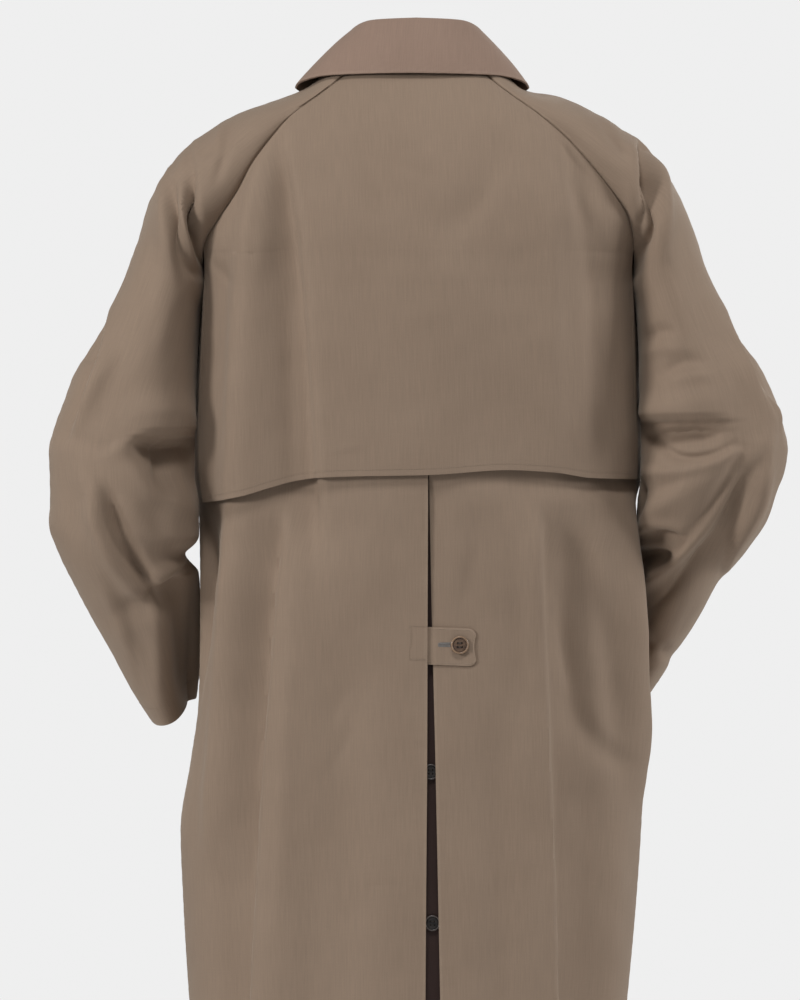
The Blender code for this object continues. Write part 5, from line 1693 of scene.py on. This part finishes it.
# %% [markdown]
# ## The walls of cloth
# So far every piece is only a face. Now each panel is drawn back from its seams and closed
# into a wall, with its warp along the centre of the piece, as it was cut. Then it takes the
# place of its packed node, and its flat size is measured along the cloth.

# %% Walls of cloth
SLEEVE_GRAIN = 30             # columns whose line is straight along the warp
CAPE_GRAIN = cape.points.shape[1] // 2
FALL_GRAIN = FALL_STEPS // 2

for side, panel in backs.items():
    draw_back(panel, ("left", "right"))
    take_place(make_wall("back_half_" + side, panel), "back_" + side, panel)
for side, panel in fronts.items():
    draw_back(panel, ("right",))
    take_place(make_wall("front_half_" + side, panel), "front_" + side, panel)
for (side, face), panel in sleeves.items():
    draw_back(panel, ("left", "right"))
    name = "sleeve_" + face + "_" + side
    take_place(make_wall("raglan_" + name, panel, grain=SLEEVE_GRAIN), name, panel)
draw_back(cape, ("left", "right"))
take_place(make_wall("back_cape", cape, grain=CAPE_GRAIN), "cape", cape)
take_place(make_wall("neck_stand", stand, "collar_gabardine"), "collar_stand", stand)
fall_wall = make_wall("turned_fall", fall, "collar_gabardine", FALL_GRAIN)
take_place(fall_wall, "collar_fall", fall)
# The pleat's very dark material is partly painted shadow of the deep vent.
pleat_wall = make_wall("dark_pleat", underlay, "facing_with_painted_shadow")
take_place(pleat_wall, "vent_underlay", underlay)
take_place(make_wall("vent_tab", tab), "tab", tab)

# %% [markdown]
# ## Buttons
# A resin button is turned on a lathe: a raised rim, a narrow ring groove inside it and a shallow dish. Four
# holes are drilled through the dish. A profile that is spun round gives the turned form, and a Boolean
# modifier drills the holes, as the real tool does. The top of the rim is marked for a paler colour, a
# painted highlight ring.

# %% Button sizes
ButtonSpec = namedtuple("ButtonSpec", "name x z across thick")
TAB_BUTTON = ButtonSpec("tab_button", 47.2, -673.9, 21.0, 3.6)
VENT_BUTTONS = [
    ButtonSpec("vent_button_upper", 14.4, -817.7, 18.5, 3.4),
    ButtonSpec("vent_button_lower", 16.4, -990.0, 18.5, 3.4),
]
Turned = namedtuple("Turned", "radius height")
BUTTON_PROFILE = [
    Turned(0.55, 0.0), Turned(0.84, 0.03), Turned(0.95, 0.20), Turned(1.0, 0.48), Turned(0.99, 0.70),
    Turned(0.955, 0.88), Turned(0.91, 0.98), Turned(0.865, 1.0), Turned(0.825, 0.96), Turned(0.79, 0.84),
    Turned(0.765, 0.66), Turned(0.74, 0.54), Turned(0.71, 0.53), Turned(0.685, 0.62), Turned(0.64, 0.66),
    Turned(0.40, 0.60), Turned(0.12, 0.57),
]
BUTTON_SIDES = 72
HOLE_SIDES = 20
HOLE_AT = 0.215               # holes' distance from the middle each way, in radii
HOLE_WIDE = 0.12              # a hole's radius, in the button's
RIM_AT = 0.90                 # the painted highlight line round the rim, in radii
RIM_WIDE = 0.085
RIM_FROM = 0.6                # only above this share of the thickness
RIM_SHARP = 0.6
print("buttons:", [spec.name for spec in [TAB_BUTTON, *VENT_BUTTONS]])


# %% Turning a form
def button_frame(spec, lift):
    """Seat of a button, and its ways to the side, up and out."""
    x = np.array([[spec.x, spec.x + 1.0], [spec.x, spec.x + 1.0]]) * MM
    z = np.array([[spec.z, spec.z], [spec.z - 1.0, spec.z - 1.0]]) * MM
    points, normals = centre_surface(x, z)
    out = normals[0, 0]
    side_way = unit(np.cross(out, [0.0, 0.0, 1.0]))
    return points[0, 0] + out * lift, side_way, np.cross(side_way, out), out


def spun(name, seat, side_way, up_way, out, radii, heights, sides):
    """A closed form from rings round an axis, capped at both ends."""
    form = bmesh.new()
    rings = []
    for radius, height in zip(radii, heights):
        angles = np.linspace(0.0, 2 * np.pi, sides, endpoint=False)
        rings.append([form.verts.new(seat + (side_way * np.cos(a) + up_way * np.sin(a)) * radius
                                     + out * height) for a in angles])
    for low, high in zip(rings, rings[1:]):
        for i in range(sides):
            j = (i + 1) % sides
            form.faces.new((low[i], low[j], high[j], high[i]))
    form.faces.new(rings[0])
    form.faces.new(rings[-1])
    bmesh.ops.recalc_face_normals(form, faces=form.faces)
    mesh = bpy.data.meshes.new(name)
    form.to_mesh(mesh)
    form.free()
    obj = bpy.data.objects.new(name, mesh)
    bpy.context.scene.collection.objects.link(obj)
    return obj


print("seat of the tab's button:", [round(float(v), 3) for v in button_frame(TAB_BUTTON, 0.0)[0]])


# %% Drilling and finishing a button
def settled(obj, name):
    """A plain mesh object of what the modifiers make of obj, which is removed."""
    depsgraph = bpy.context.evaluated_depsgraph_get()
    mesh = bpy.data.meshes.new_from_object(obj.evaluated_get(depsgraph))
    bpy.data.objects.remove(obj, do_unlink=True)
    made = bpy.data.objects.new(name, mesh)
    bpy.context.scene.collection.objects.link(made)
    return made


def drill_holes(blank, seat, side_way, up_way, out, radius, thick):
    """Cut the four holes with Boolean modifiers; the drills are returned to be cleared away."""
    drills = []
    for across in (-HOLE_AT, HOLE_AT):
        for up in (-HOLE_AT, HOLE_AT):
            middle = seat + (side_way * across + up_way * up) * radius
            wide = HOLE_WIDE * radius
            ends = [-thick, 2 * thick]
            drill = spun("drill", middle, side_way, up_way, out, [wide, wide], ends, HOLE_SIDES)
            cut = blank.modifiers.new("hole", "BOOLEAN")
            cut.operation = "DIFFERENCE"
            cut.object = drill
            drills.append(drill)
    return drills


def mark_rim_highlight(mesh, seat, out, radius, thick):
    """Give the button's edge attribute the value 1 along the top of its rim, where a highlight ring is
    painted.
    """
    spots = np.zeros(len(mesh.vertices) * 3)
    mesh.vertices.foreach_get("co", spots)
    offset = spots.reshape(-1, 3) - seat
    from_axis = np.linalg.norm(offset - (offset @ out)[:, None] * out, axis=1) / radius
    high = (offset @ out) / thick
    rim = np.exp(-((from_axis - RIM_AT) / RIM_WIDE) ** 2) * (high > RIM_FROM)
    mark = mesh.attributes.new("edge", "FLOAT", "POINT")
    mark.data.foreach_set("value", rim.astype(np.float32))


def make_button(spec, lift, material):
    """Turn, drill and finish one button in the place of its packed node."""
    seat, side_way, up_way, out = button_frame(spec, lift)
    radius = spec.across * MM / 2
    thick = spec.thick * MM
    radii = [radius * turned.radius for turned in BUTTON_PROFILE]
    heights = [thick * turned.height for turned in BUTTON_PROFILE]
    blank = spun(spec.name + "_blank", seat, side_way, up_way, out, radii, heights, BUTTON_SIDES)
    drills = drill_holes(blank, seat, side_way, up_way, out, radius, thick)
    obj = settled(blank, spec.name + "_turned")
    for drill in drills:
        bpy.data.objects.remove(drill, do_unlink=True)
    mesh = obj.data
    mark_rim_highlight(mesh, seat, out, radius, thick)
    mesh.materials.clear()
    mesh.materials.append(MATERIALS[material])
    mesh.shade_smooth()
    mesh.set_sharp_from_angle(angle=RIM_SHARP)
    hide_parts(spec.name)
    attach(obj, "root")
    print(obj.name, len(mesh.polygons), "faces")


OVER_TAB = 1.5 * MM           # the tab's button stands on its threads
OVER_PLEAT = 0.4 * MM
STEP_THERE = float(vent_step(np.array([TAB_BUTTON.x * MM, 0.0, TAB_BUTTON.z * MM])))
TAB_LIFT = STEP_THERE + TAB_SEAT + OVER_TAB
VENT_LIFT = OVER_PLEAT - UNDERLAY_DEPTH
make_button(TAB_BUTTON, TAB_LIFT, "horn_resin")
for button_spec in VENT_BUTTONS:
    make_button(button_spec, VENT_LIFT, "dark_horn_resin")

# %% [markdown]
# ## Stitches: the tree
# A line of machine stitches repeats one small thing along a path, which is what Geometry
# Nodes are for. The tree takes a mesh of edges, makes curves of it, sets points along them
# and puts a short rounded thread on each. Its pitch, length and width are named inputs.

# %% Stitch tree
LEAST_STITCH = 0.86           # stitches vary in size between these two
MOST_STITCH = 1.12


def make_stitch_tree():
    """Paths in, a rounded thread at every stitch out."""
    tree = bpy.data.node_groups.new("machine stitches", "GeometryNodeTree")
    wires = Wires(tree)
    socket(tree, "Paths", "NodeSocketGeometry")
    socket(tree, "Pitch", "NodeSocketFloat", value=3.0 * MM)
    socket(tree, "Stitch Length", "NodeSocketFloat", value=2.3 * MM)
    socket(tree, "Thread Width", "NodeSocketFloat", value=0.6 * MM)
    socket(tree, "Seed", "NodeSocketInt", value=7)
    socket(tree, "Thread", "NodeSocketMaterial")
    socket(tree, "Stitches", "NodeSocketGeometry", inward=False)
    entry = wires.node("NodeGroupInput")
    leave = wires.node("NodeGroupOutput")
    curves = wires.node("GeometryNodeMeshToCurve")
    wires.put(curves.inputs["Mesh"], entry.outputs["Paths"])
    spots = wires.node("GeometryNodeCurveToPoints", mode="LENGTH")
    wires.put(spots.inputs["Curve"], curves.outputs["Curve"])
    wires.put(spots.inputs["Length"], entry.outputs["Pitch"])
    along = wires.node("FunctionNodeAlignRotationToVector", axis="Z")
    wires.put(along.inputs["Vector"], spots.outputs["Tangent"])
    thread = wires.node("GeometryNodeMeshUVSphere")
    thread.inputs["Segments"].default_value = 6
    thread.inputs["Rings"].default_value = 4
    thread.inputs["Radius"].default_value = 0.5
    size = wires.node("ShaderNodeCombineXYZ")
    wires.put(size.inputs["X"], entry.outputs["Thread Width"])
    wires.put(size.inputs["Y"], entry.outputs["Thread Width"])
    wires.put(size.inputs["Z"], entry.outputs["Stitch Length"])
    vary = wires.node("FunctionNodeRandomValue", data_type="FLOAT")
    vary.inputs[2].default_value = LEAST_STITCH
    vary.inputs[3].default_value = MOST_STITCH
    wires.put(vary.inputs["Seed"], entry.outputs["Seed"])
    scaled = wires.node("ShaderNodeVectorMath", operation="SCALE")
    wires.put(scaled.inputs[0], size.outputs[0])
    wires.put(scaled.inputs["Scale"], vary.outputs[1])
    placed = wires.node("GeometryNodeInstanceOnPoints")
    wires.put(placed.inputs["Points"], spots.outputs["Points"])
    wires.put(placed.inputs["Instance"], thread.outputs["Mesh"])
    wires.put(placed.inputs["Rotation"], along.outputs["Rotation"])
    wires.put(placed.inputs["Scale"], scaled.outputs[0])
    real = wires.node("GeometryNodeRealizeInstances")
    wires.put(real.inputs["Geometry"], placed.outputs["Instances"])
    dyed = wires.node("GeometryNodeSetMaterial")
    wires.put(dyed.inputs["Geometry"], real.outputs["Geometry"])
    wires.put(dyed.inputs["Material"], entry.outputs["Thread"])
    wires.put(leave.inputs["Stitches"], dyed.outputs["Geometry"])
    return tree


STITCH_TREE = make_stitch_tree()
STITCH_INPUTS = {item.name: item.identifier for item in STITCH_TREE.interface.items_tree
                 if item.item_type == "SOCKET" and item.in_out == "INPUT"}
print("stitch inputs:", list(STITCH_INPUTS))

# %% Stitches along paths
FACES_A_STITCH = 24


def sew_stitches(name, paths, thread="seam_thread", pitch=3.0, length=2.3, width=0.6, seed=7):
    """Stitches along lists of points, as one plain mesh; sizes in millimetres."""
    mesh = bpy.data.meshes.new(name + "_paths")
    starts = np.cumsum([0] + [len(path) for path in paths])
    edges = [(start + i, start + i + 1) for start, path in zip(starts, paths)
             for i in range(len(path) - 1)]
    mesh.from_pydata(np.concatenate(paths).tolist(), edges, [])
    guide = bpy.data.objects.new(name + "_paths", mesh)
    bpy.context.scene.collection.objects.link(guide)
    stitches = guide.modifiers.new("stitches", "NODES")
    stitches.node_group = STITCH_TREE
    stitches[STITCH_INPUTS["Pitch"]] = pitch * MM
    stitches[STITCH_INPUTS["Stitch Length"]] = length * MM
    stitches[STITCH_INPUTS["Thread Width"]] = width * MM
    stitches[STITCH_INPUTS["Seed"]] = seed
    stitches[STITCH_INPUTS["Thread"]] = MATERIALS[thread]
    obj = settled(guide, name)
    obj.data.shade_smooth()
    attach(obj, "root")
    print(f"{name}: {len(obj.data.polygons) // FACES_A_STITCH} stitches")


def beside_edge(panel, edge, inset, first=0, last=None, lift=0.12):
    """Points on a panel's face that stay inset millimetres from one of its edges."""
    u, v = panel.metres()
    run = slice(first, last)
    if edge in ("left", "right"):
        away = (u if edge == "left" else u[:, -1:] - u)[run]
        spots = panel.points[run]
        ways = panel.normals[run]
    else:
        away = (v if edge == "top" else v[-1:] - v)[:, run].T
        spots = panel.points[:, run].swapaxes(0, 1)
        ways = panel.normals[:, run].swapaxes(0, 1)
    path = []
    for distance, line, way in zip(away, spots, ways):
        order = np.argsort(distance)
        over = (line + way * lift * MM)[order]
        path.append([np.interp(inset * MM, distance[order], over[:, k]) for k in range(3)])
    return np.array(path)


print("rows of the tab's hem:", len(beside_edge(tab, "top", 1.0)))


# %% [markdown]
# ## Stitches: where they run
# The cape's hem and sides are edge stitched, and so is the tab. The tab's end is held
# under the left panel by a small stitched box. The cuffs, the hem and the fly of the front
# have a single row each.

# %% Seam stitches
# Millimetres: the stitched box, and how far each row runs from its edge.
BOX_LEFT = -9.8
BOX_RIGHT = 9.6
BOX_TOP = -652.5
BOX_LOW = -690.0
CAPE_INSET = 7.0
CUFF_INSET = 28.0
HEM_INSET = 26.0
FLY_INSET = 62.0
TAB_INSET = 2.4
BOX_LIFT = 0.15
BOX_STEP = 2.0


def on_back(corners):
    """A path over the left back panel between corners in millimetres."""
    x = []
    z = []
    for (x0, z0), (x1, z1) in zip(corners, corners[1:]):
        count = max(2, int(np.hypot(x1 - x0, z1 - z0) / BOX_STEP))
        x.extend(np.linspace(x0, x1, count, endpoint=False))
        z.extend(np.linspace(z0, z1, count, endpoint=False))
    x = np.array([x, x]) * MM
    z = np.array([z, np.array(z) - 1.0]) * MM
    points = centre_surface(x, z)[0]
    return points[0] - np.array([0.0, BOX_LIFT * MM, 0.0])


cape_rows = SEAM_ROWS + 2
cape_paths = [beside_edge(cape, "bottom", CAPE_INSET, 8, -8)]
cape_paths += [beside_edge(cape, side, CAPE_INSET, cape_rows, -6) for side in ("left", "right")]
sew_stitches("cape_edge_stitches", cape_paths, pitch=2.8, width=0.5)
sleeve_paths = [beside_edge(panel, "bottom", CUFF_INSET) for panel in sleeves.values()]
hem_paths = [beside_edge(panel, "bottom", HEM_INSET) for panel in [*backs.values(), *fronts.values()]]
fly_path = [beside_edge(fronts["left"], "left", FLY_INSET, 6, -8)]
sew_stitches("hem_and_fly_stitches", sleeve_paths + hem_paths + fly_path, width=0.5, seed=11)
tab_paths = [beside_edge(tab, edge, TAB_INSET, 16, -14) for edge in ("top", "bottom")]
tab_paths += [beside_edge(tab, "right", TAB_INSET, 8, -8)]
sew_stitches("tab_edge_stitches", tab_paths, pitch=2.4, length=1.9, width=0.5, seed=3)
box_corners = [(BOX_RIGHT, BOX_TOP), (BOX_LEFT, BOX_TOP), (BOX_LEFT, BOX_LOW), (BOX_RIGHT, BOX_LOW)]
sew_stitches("tab_root_stitches", [on_back(box_corners)], pitch=2.2, length=1.8, width=0.6, seed=5)

# %% [markdown]
# ## Stitches: buttonhole and button threads
# The tab's buttonhole is a slit bound on both sides with close grey stitches. Only its
# left part shows beside the button. The buttons are held by loops of thread between
# neighbouring holes.

# %% Buttonhole
# Millimetres, as in the tables.
HOLE_START = 24.6
HOLE_END = 41.0
HOLE_Z = -673.2
LIP_NEAR = 0.35               # a bar of thread runs from near the slit to far from it
LIP_FAR = 2.2
BAR_STEP = 0.42
BAR_LEAN = 0.12
END_BAR = 1.5
SLIT_STEP = 0.8


def on_tab(x, z, lift):
    """A point over the tab's face, in millimetres."""
    grid_x = np.array([[x, x + 1.0], [x, x + 1.0]]) * MM
    grid_z = np.array([[z, z], [z - 1.0, z - 1.0]]) * MM
    points, normals = centre_surface(grid_x, grid_z)
    return points[0, 0] + normals[0, 0] * (float(vent_step(points)[0, 0]) + TAB_SEAT + lift * MM)


bars = []
for x in np.arange(HOLE_START, HOLE_END, BAR_STEP):
    for low, high in ((LIP_NEAR, LIP_FAR), (-LIP_FAR, -LIP_NEAR)):
        bars.append(np.array([on_tab(x, HOLE_Z + low, 0.1), on_tab(x + BAR_LEAN, HOLE_Z + high, 0.05)]))
for z in HOLE_Z + np.arange(-2.0, 2.1, BAR_STEP):
    bars.append(np.array([on_tab(HOLE_START - END_BAR, z, 0.05), on_tab(HOLE_START, z, 0.1)]))
sew_stitches("buttonhole_stitches", bars, "buttonhole_thread",
             pitch=0.6, length=1.0, width=0.46, seed=9)
# A line of dark thread along the slit is painted shade of the cut.
slit = np.array([on_tab(x, HOLE_Z, 0.02) for x in np.arange(HOLE_START, HOLE_END, SLIT_STEP)])
sew_stitches("buttonhole_slit_painted_shade", [slit], "button_thread", pitch=0.5, length=1.2, width=0.6, seed=13)

# %% Button threads
STRANDS = (-0.035, 0.0, 0.035)  # places of a loop's strands beside its holes, in radii
LOOP_FOOT = 0.44              # shares of the button's thickness
LOOP_RISE = 0.20


def thread_loops(spec, lift):
    """Loops over the dish between the holes: two pairs, three strands each."""
    seat, side_way, up_way, out = button_frame(spec, lift)
    radius = spec.across * MM / 2
    loops = []
    for up in (-HOLE_AT, HOLE_AT):
        for strand in STRANDS:
            turn = np.linspace(0.0, np.pi, 13)
            across = np.cos(turn) * HOLE_AT * radius
            height = (LOOP_FOOT + LOOP_RISE * np.sin(turn)) * spec.thick * MM
            loops.append(seat + side_way * across[:, None] + up_way * (up + strand) * radius
                         + out * height[:, None])
    return loops


loops = thread_loops(TAB_BUTTON, TAB_LIFT)
for button_spec in VENT_BUTTONS:
    loops = loops + thread_loops(button_spec, VENT_LIFT)
sew_stitches("button_threads", loops, "button_thread", pitch=0.28, length=0.6, width=0.42, seed=17)

# %% [markdown]
